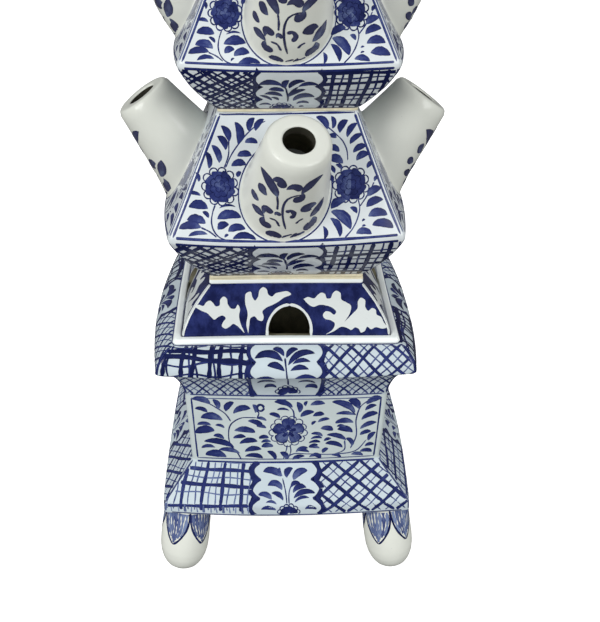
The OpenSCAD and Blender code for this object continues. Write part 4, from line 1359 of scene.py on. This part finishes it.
class BaseOperator(bpy.types.Operator):
    """Plinth, pedestal and tray, with their nets, lattices, cartouches and flowers."""
    bl_idname = "vase.base"
    bl_label = "Base"

    def execute(self, context):
        f = finishes()
        v = sizes(context.scene.vase_walls)
        self.plinth(v, f)
        self.pedestal(v, f)
        self.tray(v, f)
        slab = frame["nodes"]["bottom_slab"].data
        slab.materials.clear()
        slab.materials.append(f["strip_clay"])
        return {"FINISHED"}

    def walls(self, name, node, outer, inner, ground, f):
        """Closed wall with a glazed outside and a bare inside."""
        rows = np.concatenate([outer, inner])
        groups = (np.arange(len(rows)) >= len(outer) - 1) * 1
        piece = form(name, wall_rings(rows), True, [f[ground], f["inner_clay"]], groups)
        seat(piece, "base", "painted_glaze", node)

    def plinth(self, v, f):
        """Upright lip, and a slope from it in to the pedestal's foot."""
        r, wall = v["corner"], v["wall"]
        low, high = extent("plinth_skirt")
        bow = high[0] - LIP_HALF
        lip, inside = low[2] + LIP_RISE, LIP_HALF - wall - 1
        outer = soften([
            (inside, low[2], bow, r, 0), (LIP_HALF, low[2], bow, r, v["edge"]),
            (LIP_HALF - 0.4, lip, bow, r, 2.0), (PEDESTAL_FOOT, high[2], WAIST_BOW, r, 0),
        ])
        inner = soften([
            (PEDESTAL_FOOT - wall, high[2], WAIST_BOW, r, 0), (inside, lip - 1.5, bow, r, 1),
            (inside, low[2] + 1, bow, r, 0),
        ])
        self.walls("plinth_glazed", "plinth_skirt", outer, inner, "base_ground", f)
        face = outer[np.searchsorted(outer[:, 1], low[2] + 0.02):]
        brush = Brush(SEEDS["plinth"])
        for side in range(4):
            panel = WallPanel(face, side, low[2])
            paint_plinth(brush, panel, LIP_RISE, panel.height(high[2]))
        seat(brush.lay("plinth_brushwork", f["cobalt_brush"]), "base", "painted_glaze")

    def pedestal(self, v, f):
        """Four walls that widen a little upwards."""
        r, wall = v["corner"], v["wall"]
        low, high = extent("pedestal")
        outer = soften([(PEDESTAL_FOOT, low[2], WAIST_BOW, r, 0), (PEDESTAL_TOP, high[2], WAIST_BOW, r, 0)])
        inner = soften([
            (PEDESTAL_TOP - wall, high[2], WAIST_BOW, r, 0), (PEDESTAL_FOOT - wall, low[2], WAIST_BOW, r, 0),
        ])
        self.walls("pedestal_glazed", "pedestal", outer, inner, "pedestal_ground", f)
        brush = Brush(SEEDS["pedestal"])
        for side in range(4):
            panel = WallPanel(outer, side, low[2])
            paint_pedestal(brush, panel, panel.height(high[2]))
        seat(brush.lay("pedestal_brushwork", f["cobalt_brush"]), "base", "painted_glaze")

    def tray(self, v, f):
        """Moulding with a hollow curve, a rounded face and a raised white rim.

        Over a quarter turn q, the hollow widens as (1 - cos q)^0.8 and rises as sin q, and the face narrows
        as cos(q)^0.6 and rises as q^0.9.
        """
        r, wall = v["corner"], v["wall"]
        low, high = extent("tray")
        rim_top, shoulder = high[2], low[2] + COVE_RISE
        rim_base, rim_inside = rim_top - RIM_RISE, RIM_HALF - v["rim"]
        ledge = extent("cover")[0][2]
        quarter = math.pi / 2
        cove = [
            (PEDESTAL_TOP + (BELLY_HALF - PEDESTAL_TOP) * (1 - math.cos(quarter * k)) ** 0.8,
             low[2] + COVE_RISE * math.sin(quarter * k), WAIST_BOW + (BELLY_BOW - WAIST_BOW) * k, r, 0)
            for k in np.linspace(0, 1, 11)[1:]
        ]
        cove[-1] = (*cove[-1][:4], 9.0)
        face = [
            (RIM_HALF + (BELLY_HALF - RIM_HALF) * math.cos(quarter * k) ** 0.6,
             shoulder + SHOULDER_RISE * k ** 0.9, BELLY_BOW * math.cos(quarter * k), r + 2 * k, 0)
            for k in np.linspace(0, 1, 13)[1:-1]
        ]
        foot = (PEDESTAL_TOP, low[2], WAIST_BOW, r, 0)
        outer = soften([foot, *cove, *face, (RIM_HALF, rim_base, 0, 4, 0)], 4)
        lip = soften([
            (RIM_HALF, rim_base, 0, 4, 0), (RIM_HALF + 0.6, rim_base + 1.4, 0, 4, 0.5),
            (RIM_HALF - 0.6, rim_top, 0, 3.6, 1.4), (rim_inside + 0.8, rim_top, 0, 2.4, 1.0),
            (rim_inside, rim_top - 1.2, 0, 2.2, 0.5), (rim_inside, ledge, 0, 2.2, 0),
        ])[1:]
        inner = soften([
            (rim_inside - STRIP_BREADTH, ledge, 0, 2, 0),
            (PEDESTAL_TOP - wall, low[2] + wall, WAIST_BOW, 2, 0),
            (PEDESTAL_TOP - wall, low[2], WAIST_BOW, 2, 0),
        ])
        rows = np.concatenate([outer, lip, inner])
        place = np.arange(len(rows))
        groups = np.where(place < len(outer) - 1, 0, np.where(place < len(outer) + len(lip) - 1, 1, 2))
        # The rim takes the brighter copy of the white glaze, painted light
        skins = [f[name] for name in ("base_ground", "white_rim", "inner_clay")]
        seat(form("tray_glazed", wall_rings(rows), True, skins, groups), "base", "painted_glaze", "tray")
        brush = Brush(SEEDS["tray"])
        for side in range(4):
            panel = WallPanel(outer, side, low[2])
            panel.raised = 0.12
            paint_tray(brush, panel, panel.height(shoulder), panel.height(rim_base))
        seat(brush.lay("tray_brushwork", f["cobalt_brush"]), "base", "painted_glaze")


class CoverOperator(bpy.types.Operator):
    """Sloping blue cover with an arched opening in each side, white leaves and a white collar."""
    bl_idname = "vase.cover"
    bl_label = "Cover"

    def execute(self, context):
        f = finishes()
        v = sizes(context.scene.vase_walls)
        wall = v["wall"]
        low, high = extent("cover")
        out, collar = high[0] - 0.3, extent("tier_1_foot_strip")[1][0]
        mouth = collar - v["ring"]
        ledge, top = low[2] + 0.05, high[2]
        slope_low, slope_high = low[2] + 3.5, top - 4.6
        full = context.scene.vase_walls.fullness
        run, rise = out - collar, slope_high - slope_low
        t = np.linspace(0, 1, 13)[:, None]
        outline = np.concatenate([out - run * t ** full, slope_low + rise * t], axis=1)
        fall = np.concatenate([0 * t + rise, run * full * t ** (full - 1)], axis=1)
        hollow = outline - wall * fall / np.linalg.norm(fall, axis=1, keepdims=True)
        slope = soften([(w, z, 0, 2.0, 0) for w, z in outline])
        glazed = slope_high + 3.1
        crown = soften([
            (collar, slope_high, 0, 2.0, 0), (collar + 0.4, slope_high + 0.8, 0, 2.0, 0.4),
            (collar + 0.3, glazed, 0, 2.0, 0.3), (collar, top, 0, 2.0, 0.6), (collar - 2, top, 0, 2.0, 0),
        ])[1:]
        inner = soften([
            (mouth, top, 0, 1.5, 0), (mouth, hollow[-1, 1], 0, 1.5, 0),
            *[(w, z, 0, 1.5, 0) for w, z in hollow[:1:-1]],
            (out - STRIP_BREADTH, ledge, 0, 1.5, 0), (out, ledge, 0, 2.0, 0),
        ])
        rows = np.concatenate([slope, crown, inner])
        place = np.arange(len(rows))
        groups = np.where(place < len(slope) - 1, 0, np.where(place < len(slope) + len(crown), 1, 2))
        groups[(groups == 1) & (rows[:, 1] > glazed)] = 3
        groups[-1] = 0
        # The collar takes the brighter copy of the white glaze, painted light
        skins = [f[name] for name in ("cobalt_ground", "white_rim", "inner_clay", "strip_clay")]
        cover = form("cover_glazed", wall_rings(rows), True, skins, groups)
        arch = (v["arch_width"] / 2, v["arch_height"] + SILL, -SILL, v["arch_aside"])
        line = arch_line(arch, 0, 49)[::-1]
        line[[0, -1], 1] -= 0.01
        flat = np.stack([line[:, 0], 0 * line[:, 0], slope_low + line[:, 1]], axis=1)
        depths = np.array([[0, 2 - collar, 0], [0, -out - 3, 0]])[:, None]
        skin = skins.index(f["inner_clay"])
        cut(cover, [cutter("arch_tool", hand_made(turned(flat[None] + depths, side)), skins, skin)
                    for side in range(4)])
        seat(cover, "base", "cobalt_glaze", "cover")
        white = Brush(SEEDS["cover"])
        points, faces, start = [], [], 0
        for side in range(4):
            panel = WallPanel(slope, side, slope_low)
            panel.raised = 0.1
            paint_cover(white, panel, panel.height(slope_high), arch, slope_low)
            leaf_points, leaf_faces = cover_leaves(panel)
            points.append(leaf_points)
            faces.append(leaf_faces + start)
            start += len(leaf_points)
        seat(white.lay("cover_lines", f["white_reserve"]), "base", "cobalt_glaze")
        points, faces = np.concatenate(points), np.concatenate(faces)
        leaves = new_object("cover_leaves", points, faces, (), [f["white_reserve"]])
        seat(leaves, "base", "cobalt_glaze")
        return {"FINISHED"}


class SpoutForm:
    """Place and sizes of one spout: a cone that slims towards its rounded end and sits on a roof."""

    def __init__(self, tier, side, wall_rows, v, extra, skirt):
        middle, self.axis, dims = mount(f"tier_{tier}_{SIDES[side]}_stem_hole")
        self.hole, self.depth = dims["r_mm"], dims["length_mm"]
        self.size = self.hole / v["hole"]
        self.reach = v["reach"] * self.size + extra
        self.root = middle + self.axis * (self.depth / 2 - v["reach"] * self.size)
        self.end = v["end"] * self.size
        self.flare = (v["root"] - v["end"]) / v["reach"]
        self.skirt = skirt
        self.round = v["rounding"] * self.size
        self.wall = v["wall"] * self.size
        down = np.array([0, 0, -1.0]) - self.axis * -self.axis[2]
        self.down = down / np.linalg.norm(down)
        self.side = side
        self.rows = wall_rows
        self.own_top = wall_rows[-1, 1] - 1

    def radius(self, s):
        """Outer radius along the axis: it grows evenly down to the roof, then by the skirt's share."""
        return self.end + self.flare * (self.reach - np.maximum(s, 0) + self.skirt * np.maximum(-s, 0))

    def point(self, turn, s, inset):
        """Points of the cone, drawn in by an inset, as they lie when its side is turned to the front."""
        out = spokes(turn, self.down, self.axis) * (self.radius(s) - inset)[:, None]
        return turned(self.root + out + self.axis * s[:, None], -self.side % 4)

    def base_line(self, turn, inset):
        """Distance along the axis at which the cone, drawn in by an inset, enters the roof, by halving."""
        near, far = np.full(len(turn), -60.0), np.full(len(turn), self.reach - 6)
        for _ in range(40):
            s = (near + far) / 2
            p = self.point(turn, s, inset)
            w, bow = (np.interp(p[:, 2], self.rows[:, 1], self.rows[:, i]) for i in (0, 2))
            outside = -p[:, 1] > w + bow * (1 - np.minimum((p[:, 0] / w) ** 2, 1))
            near, far = np.where(outside, near, s), np.where(outside, s, far)
        return far


class TiersOperator(bpy.types.Operator):
    """Three lift-off tiers: bowl, edge band and roof in one wall, a foot strip, four spouts, all painted."""
    bl_idname = "vase.tiers"
    bl_label = "Tiers"

    def execute(self, context):
        scene = context.scene
        for tier in TIERS:
            self.build(tier, sizes(scene.vase_walls), sizes(scene.vase_spouts), finishes())
        return {"FINISHED"}

    def build(self, k, v, spouts, f):
        """One tier: its vessel with a hole under each spout, its strip, spouts and brushwork."""
        body = f"tier_{k}"
        above = f"tier_{k + 1}_foot_strip" if k < TIERS[-1] else "finial_foot_strip"
        strip_low, strip_high = extent(body + "_foot_strip")
        bowl_low, bowl_high = extent(body + "_bowl_front")
        roof_high = extent(body + "_roof_front")[1][2]
        foot, wide, top = strip_high[0], bowl_high[0], extent(above)[1][0]
        bow = -bowl_low[1] - wide
        size = wide / TIER_HALF
        mouth, wall, soft, r = top - v["ring"], v["wall"], v["edge"], v["corner"] * size ** 0.5
        base, edge_high = strip_high[2], bowl_high[2]
        edge_low = edge_high - TIER_BAND * size
        floor = extent(body + "_floor")[0][2]

        def flank(shares, inward):
            """Rows up the bowl's side, which swells by the parabola 4 u (1 - u)."""
            return [(foot + (wide - foot) * u + 4 * v["swell"] * u * (1 - u) - inward,
                     base + (edge_low - base) * u, bow * u, r, 0) for u in shares]

        t = np.linspace(0, 1, 9)
        under = spigot_rows(foot, base, floor, strip_low[2], base, v)
        outer = soften([
            (foot - 2, base, 0, r, 0), (foot, base + 0.05, 0, r, 0.6), *flank(t[1:-1], 0),
            (wide, edge_low, bow, r, soft), (wide, edge_high, bow, r, soft), (top, roof_high, 0, r, soft),
            (mouth, roof_high + 0.01, 0, r, 0),
        ])
        inner = soften([
            (mouth, roof_high - 0.4, 0, 1.5, 0), (mouth, roof_high - wall, 0, 1.5, 0),
            (top - 0.6 * wall, roof_high - wall, 0, 1.5, 0), (wide - wall - 1, edge_high, bow, r, 2),
            *flank(t[-2:1:-1], wall + 1), (foot - wall - 1, base + wall, 0, 1.5, 0),
        ])
        rows = np.concatenate([under, outer, inner])
        place = np.arange(len(rows))
        groups = np.where((place < len(under)) | (place > len(under) + len(outer)), 1, 0)
        skins = [f["painted_ground"], f["inner_clay"]]
        vessel = form(body + "_vessel", wall_rings(rows), False, skins, groups[:-1])
        face = outer[np.searchsorted(outer[:, 1], base + 0.02):]
        face = face[:np.searchsorted(face[:, 1], roof_high) + 1]

        first = k == TIERS[0]
        skirt = FIRST_SKIRT if first else UPPER_SKIRT
        built = [SpoutForm(k, side, face, spouts, FIRST_EXTRAS[side] * first, skirt) for side in range(4)]
        cut(vessel, [self.passage(spout, spouts["passage"] * spout.size, skins) for spout in built])
        slabs = [f"{body}_{part}_{side}" for part in ("bowl", "roof") for side in SIDES]
        seat(vessel, body, "painted_glaze", body + "_floor", *slabs)
        clay_strip(body, strip_low[2], strip_high[2], foot, f)
        for spout in built:
            self.spout(body, spout, f)

        brush, sprigs = Brush(SEEDS["tier"] + k), Brush(SEEDS["sprigs"] + k)
        for spout in built:
            roof = WallPanel(face, spout.side, edge_high)
            bowl = WallPanel(face, spout.side, base)
            bowl.raised = 0.04
            paint_roof(brush, roof, size, roof.height(roof_high), self.outline(roof, spout))
            paint_bowl(brush, bowl, size, bowl.height(edge_low))
            paint_edge(brush, bowl, bowl.height(edge_low))
            panel = RoundPanel(spout.root, spout.axis, spout.down, spout.radius, SPRIG_RADIUS * spout.size)
            panel.raised = 0.08
            panel.own_top = spout.own_top
            paint_spout(sprigs, panel, spout.size, SPRIG_TURN * (spout.side % 2))
        seat(brush.lay(body + "_brushwork", f["cobalt_brush"]), body, "painted_glaze")
        seat(sprigs.lay(body + "_sprigs", f["violet_brush"]), body, "ivory_glaze")

    def passage(self, spout, hole, skins):
        """Round tool that cuts the hole through the roof under a spout, and leaves bare clay."""
        inside, outside = -45, 22
        profile = [(hole * 0.2, inside), (hole, inside), (hole, outside), (hole * 0.2, outside)]
        rings = hand_made(round_rings(profile, spout.root, spout.axis, spout.down, 48), spout.own_top)
        return cutter("passage_tool", rings, skins, 1)

    def outline(self, panel, spout):
        """Line a little outside the spout's foot, in the panel's own measures, kept above the roof's edge."""
        gap = 1.9 * spout.size
        turn = np.linspace(0, 2 * math.pi, 2 * LONG - 1)
        p = spout.point(turn, spout.base_line(turn, -gap), -gap)
        return np.stack([p[:, 0], np.maximum(panel.height(p[:, 2]), spout.size)], axis=1)

    def spout(self, body, spout, f):
        """Hollow cone: outer wall with a small fillet at the roof, rounded end, stem hole, inner wall."""
        count = 72
        turn = np.arange(count) / count * 2 * math.pi
        low = spout.base_line(turn, 0)
        sunk = spout.base_line(turn, spout.wall) - 3
        sink = 1.2
        fillet, fade, edge = 1.6 * spout.size, 1.3 * spout.size, 1.6 * spout.size
        close = (0, 0.012, 0.025, 0.04, 0.06, 0.09, 0.13, 0.19)
        t = np.array([*close, 0.27, 0.36, 0.46, 0.57, 0.68, 0.79, 0.9, 1])[:, None]
        top = spout.reach - spout.round
        s = low - sink + (top - low + sink) * t
        r = spout.radius(s) + fillet * np.exp(-(s - low + sink) / fade)
        bend = np.linspace(0, math.pi / 2, 7)[1:, None] + 0 * turn
        end_r = spout.end - spout.round + spout.round * np.cos(bend)
        end_s = top + spout.round * np.sin(bend)
        lip = np.linspace(0, math.pi / 2, 6)[:, None] + 0 * turn
        lip_r = spout.hole + edge * (1 - np.sin(lip))
        lip_s = spout.reach - edge * (1 - np.cos(lip))
        neck_s = spout.reach - spout.depth + 0 * turn[None]
        inner_s = neck_s - 2 + (sunk - neck_s + 2) * np.linspace(0, 1, 6)[:, None]
        inner_r = spout.radius(inner_s) - spout.wall
        radius = np.concatenate([r, end_r, lip_r, spout.hole + 0 * neck_s, inner_r])
        along = np.concatenate([s, end_s, lip_s, neck_s, inner_s])
        profile = np.stack([radius, along], axis=1)
        rings = hand_made(round_rings(profile, spout.root, spout.axis, spout.down, count), spout.own_top)
        neck = len(r) + len(end_r) + len(lip_r)
        # The stem hole's bore takes the near-black clay as painted shade; the rest of the inside takes the
        # bare clay
        groups = np.searchsorted([neck - 2, neck], np.arange(len(rings)), side="right")
        name = f"{body}_spout_{SIDES[spout.side]}"
        skins = [f[skin] for skin in ("spout_ground", "hole_clay", "inner_clay")]
        piece = form(name + "_glazed", rings, True, skins, groups)
        seat(piece, body, "ivory_glaze", name)

class FinialOperator(bpy.types.Operator):
    """Finial: a small hipped cap with painted sides, a bare strip and a round knob."""
    bl_idname = "vase.finial"
    bl_label = "Finial"

    def execute(self, context):
        f = finishes()
        v = sizes(context.scene.vase_walls)
        strip_low, strip_high = extent("finial_foot_strip")
        low, high = extent("finial_cap")
        knob_low, knob_high = extent("finial_knob")
        half, base, top_level = strip_high[0], strip_high[2], high[2]
        edge = base + FINIAL_RISE
        band = edge + FINIAL_BAND
        bow = high[0] - FINIAL_HALF
        r, soft = 2.0, 1.2
        under = spigot_rows(half, base + 2, low[2], strip_low[2], base, v)
        outer = soften([
            (half - 2, base, 0, r, 0), (half, base + 0.05, 0, r, 0.5), (FINIAL_HALF, edge, bow, r, soft),
            (FINIAL_HALF, band, bow, r, soft), (FINIAL_TOP, top_level, 0, r, soft),
            (4, top_level + 0.02, 0, r, 0),
        ])
        rows = np.concatenate([under, outer])
        groups = np.where(np.arange(len(rows) - 1) < len(under), 1, 0)
        skins = [f["painted_ground"], f["inner_clay"]]
        cap = form("finial_cap_glazed", wall_rings(rows), False, skins, groups)
        seat(cap, "finial", "painted_glaze", "finial_cap")
        clay_strip("finial", strip_low[2], strip_high[2], half, f)
        face = outer[np.searchsorted(outer[:, 1], base + 0.02):]
        face = face[:np.searchsorted(face[:, 1], top_level) + 1]
        brush = Brush(SEEDS["finial"])
        for side in range(4):
            bowl, roof = WallPanel(face, side, base), WallPanel(face, side, band)
            rise = bowl.height(edge)
            inside = region(lambda b: -bowl.half(b) + 0.8, lambda b: bowl.half(b) - 0.8, 0.8, rise - 0.6)
            brush.lattice(bowl, inside, (-60, 60), 10, 50, 0.5, rise, 0.18, 1.2, 0.6)
            paint_edge(brush, bowl, rise)
            level_line(brush, bowl, 0.9, 1.0, 0.25)
            tall = roof.height(top_level)
            hip_lines(brush, roof, 2.6, 1.8, tall - 1.4, 0.9, 0.3)
            level_line(brush, roof, 1.8, 0.9, 0.3, 2.6)
            level_line(brush, roof, tall - 1.8, 0.9, 0.3, 2.6)
            brush.blossom(roof, (0, 15), 8.5)
            brush.spray(roof, [(0, 24), (1, 31), (0, 40)], 3.2, 8.0, 3.2, 0.16, 0.8, 55)
            for way in (-1, 1):
                stem = [(way * 8, 10), (way * 17, 6), (way * 30, 4.5)]
                brush.spray(roof, stem, 3.4, 9.0, 3.4, 0.16, 0.8, 55, way)
        seat(brush.lay("finial_brushwork", f["cobalt_brush"]), "finial", "painted_glaze")

        tall = knob_high[2] - knob_low[2]
        ball = (knob_high[0] - knob_low[0]) / 2
        centre = tall - ball
        neck = 8.0
        turn = np.linspace(math.asin(neck / ball), math.pi - 0.02, 28)
        throat = np.linspace(0, 1, 8)
        radius = np.concatenate([neck + 2.4 * (1 - throat) ** 3, ball * np.sin(turn)])
        along = np.concatenate([throat * (centre - ball * math.cos(turn[0])), centre - ball * np.cos(turn)])
        axis, start = np.array([0, 0, 1.0]), np.array([0, -1.0, 0])
        at = np.array([0, 0, knob_low[2]])
        rings = hand_made(round_rings(np.stack([radius, along], axis=1), at, axis, start))
        # The knob takes the brighter copy of the ivory glaze, painted light
        knob = form("finial_knob_glazed", rings, False, [f["foot_ground"]])
        seat(knob, "finial", "ivory_glaze", "finial_knob")
        panel = RoundPanel(at, axis, start, lambda b: np.interp(b, along, radius), ball)
        brush = Brush(SEEDS["knob"])
        turns = np.linspace(0, 2 * math.pi * ball, LONG)
        for level, width in ((centre - 12.5, 1.3), (centre + 11.5, 1.1), (2.0, 1.2)):
            brush.lines(panel, np.stack([turns, np.full(LONG, level)], axis=1), width, 0.2)
        count = 8
        spots = np.arange(count) / count * 2 * math.pi * ball
        roots, tips = (np.stack([spots, np.full(count, level)], 1) for level in (centre - 10, centre + 8))
        brush.leaves(panel, roots, tips, 6.0, 0.08, 0.18)
        seat(brush.lay("finial_knob_leaves", f["cobalt_brush"]), "finial", "ivory_glaze")
        return {"FINISHED"}


class StageOperator(bpy.types.Operator):
    """Pale floor, even soft light with a broad lamp on each side, and the camera."""
    bl_idname = "vase.stage"
    bl_label = "Stage"

    def lamp(self, name, place, power):
        """Square lamp at a place, turned to face the vase."""
        light = bpy.data.lights.new(name, "AREA")
        light.energy = power
        light.size = LAMP_WIDE
        lamp = bpy.data.objects.new(name, light)
        bpy.context.scene.collection.objects.link(lamp)
        back = np.array(place) - np.array(LAMP_AIM)
        flat = math.hypot(back[0], back[1])
        lamp.location = place
        lamp.rotation_euler = (math.atan2(flat, back[2]), 0, math.atan2(back[0], -back[1]))

    def graded(self, tree, sky, strength):
        """Even light, stronger from above than from below, and fainter in reflections."""
        place = tree.nodes.new("ShaderNodeTexCoord")
        split = tree.nodes.new("ShaderNodeSeparateXYZ")
        path = tree.nodes.new("ShaderNodeLightPath")
        rise, dim, total = (tree.nodes.new("ShaderNodeMath") for _ in range(3))
        rise.operation = dim.operation = "MULTIPLY_ADD"
        total.operation = "MULTIPLY"
        rise.inputs[1].default_value = 0.6 * strength
        rise.inputs[2].default_value = strength
        dim.inputs[1].default_value = -0.7
        dim.inputs[2].default_value = 1
        tree.links.new(place.outputs["Generated"], split.inputs[0])
        tree.links.new(split.outputs["Z"], rise.inputs[0])
        tree.links.new(path.outputs["Is Glossy Ray"], dim.inputs[0])
        tree.links.new(rise.outputs[0], total.inputs[0])
        tree.links.new(dim.outputs[0], total.inputs[1])
        tree.links.new(total.outputs[0], sky.inputs["Strength"])

    def execute(self, context):
        scene = context.scene
        s = scene.vase_stage
        f = Finish("floor_paper")
        grain = f.noise(6, 2)
        tone = f.ramp(grain, "Fac", ((0.3, (0.93, 0.93, 0.93)), (0.7, (0.95, 0.95, 0.95))))
        paper = f.surface((tone, "Color"), 0.9, 0.02, 0.02)
        ticks = np.linspace(-FLOOR_HALF, FLOOR_HALF, 3)
        x, y = np.meshgrid(ticks, ticks, indexing="ij")
        points = np.stack([x, y, np.zeros_like(x)], axis=-1)
        grid = np.arange(9).reshape(3, 3)
        quads = np.stack([grid[:-1, :-1], grid[1:, :-1], grid[1:, 1:], grid[:-1, 1:]], axis=-1).reshape(-1, 4)
        f.shader.inputs["Emission Color"].default_value = (1, 1, 1, 1)
        f.shader.inputs["Emission Strength"].default_value = s.floor
        floor = new_object("floor", points, quads, (), [paper])
        floor.visible_diffuse = False
        floor.visible_glossy = False

        world = scene.world or bpy.data.worlds.new("surround")
        scene.world = world
        world.use_nodes = True
        sky = world.node_tree.nodes["Background"]
        sky.inputs["Color"].default_value = (1, 1, 1, 1)
        self.graded(world.node_tree, sky, s.sky)
        aside, *rest = LAMP_PLACE
        self.lamp("left_lamp", (-aside, *rest), s.key * (1 + s.balance))
        self.lamp("right_lamp", LAMP_PLACE, s.key * (1 - s.balance))
        scene.view_settings.view_transform = "Standard"

        data = bpy.data.cameras.new("view")
        data.lens = s.focal
        data.sensor_width = 36
        data.shift_x = s.shift
        camera = bpy.data.objects.new("view", data)
        scene.collection.objects.link(camera)
        camera.location = s.eye
        camera.rotation_euler = (math.pi / 2 - s.pitch, 0, s.turn)
        scene.camera = camera
        return {"FINISHED"}


OPERATORS = (FeetOperator, BaseOperator, CoverOperator, TiersOperator, FinialOperator, StageOperator)


class VasePanel(bpy.types.Panel):
    """Lists the pieces of the vase and their settings."""
    bl_idname = "VIEW3D_PT_tulip_vase"
    bl_label = "Tulip Vase"
    bl_space_type = "VIEW_3D"
    bl_region_type = "UI"
    bl_category = "Tulip Vase"

    def draw(self, context):
        """Buttons for the pieces, then every setting."""
        for operator in OPERATORS:
            self.layout.operator(operator.bl_idname)
        for group in SETTINGS:
            settings = getattr(context.scene, group)
            for name in settings.__annotations__:
                self.layout.prop(settings, name)


SETTINGS = {
    "vase_walls": VaseWalls,
    "vase_spouts": VaseSpouts,
    "vase_colours": VaseColours,
    "vase_stage": VaseStage,
}
CLASSES = (*SETTINGS.values(), *OPERATORS, VasePanel)


def register():
    """Makes the settings, operators and panel known, and gives the scene its settings."""
    for c in CLASSES:
        bpy.utils.register_class(c)
    for name, group in SETTINGS.items():
        setattr(bpy.types.Scene, name, bpy.props.PointerProperty(type=group))


def unregister():
    """Takes back what register did."""
    for name in SETTINGS:
        delattr(bpy.types.Scene, name)
    for c in reversed(CLASSES):
        bpy.utils.unregister_class(c)


def main():
    """Builds every piece in order."""
    register()
    bpy.ops.vase.stage()
    bpy.ops.vase.feet()
    bpy.ops.vase.base()
    bpy.ops.vase.cover()
    bpy.ops.vase.tiers()
    bpy.ops.vase.finial()


if __name__ == "__main__":
    main()
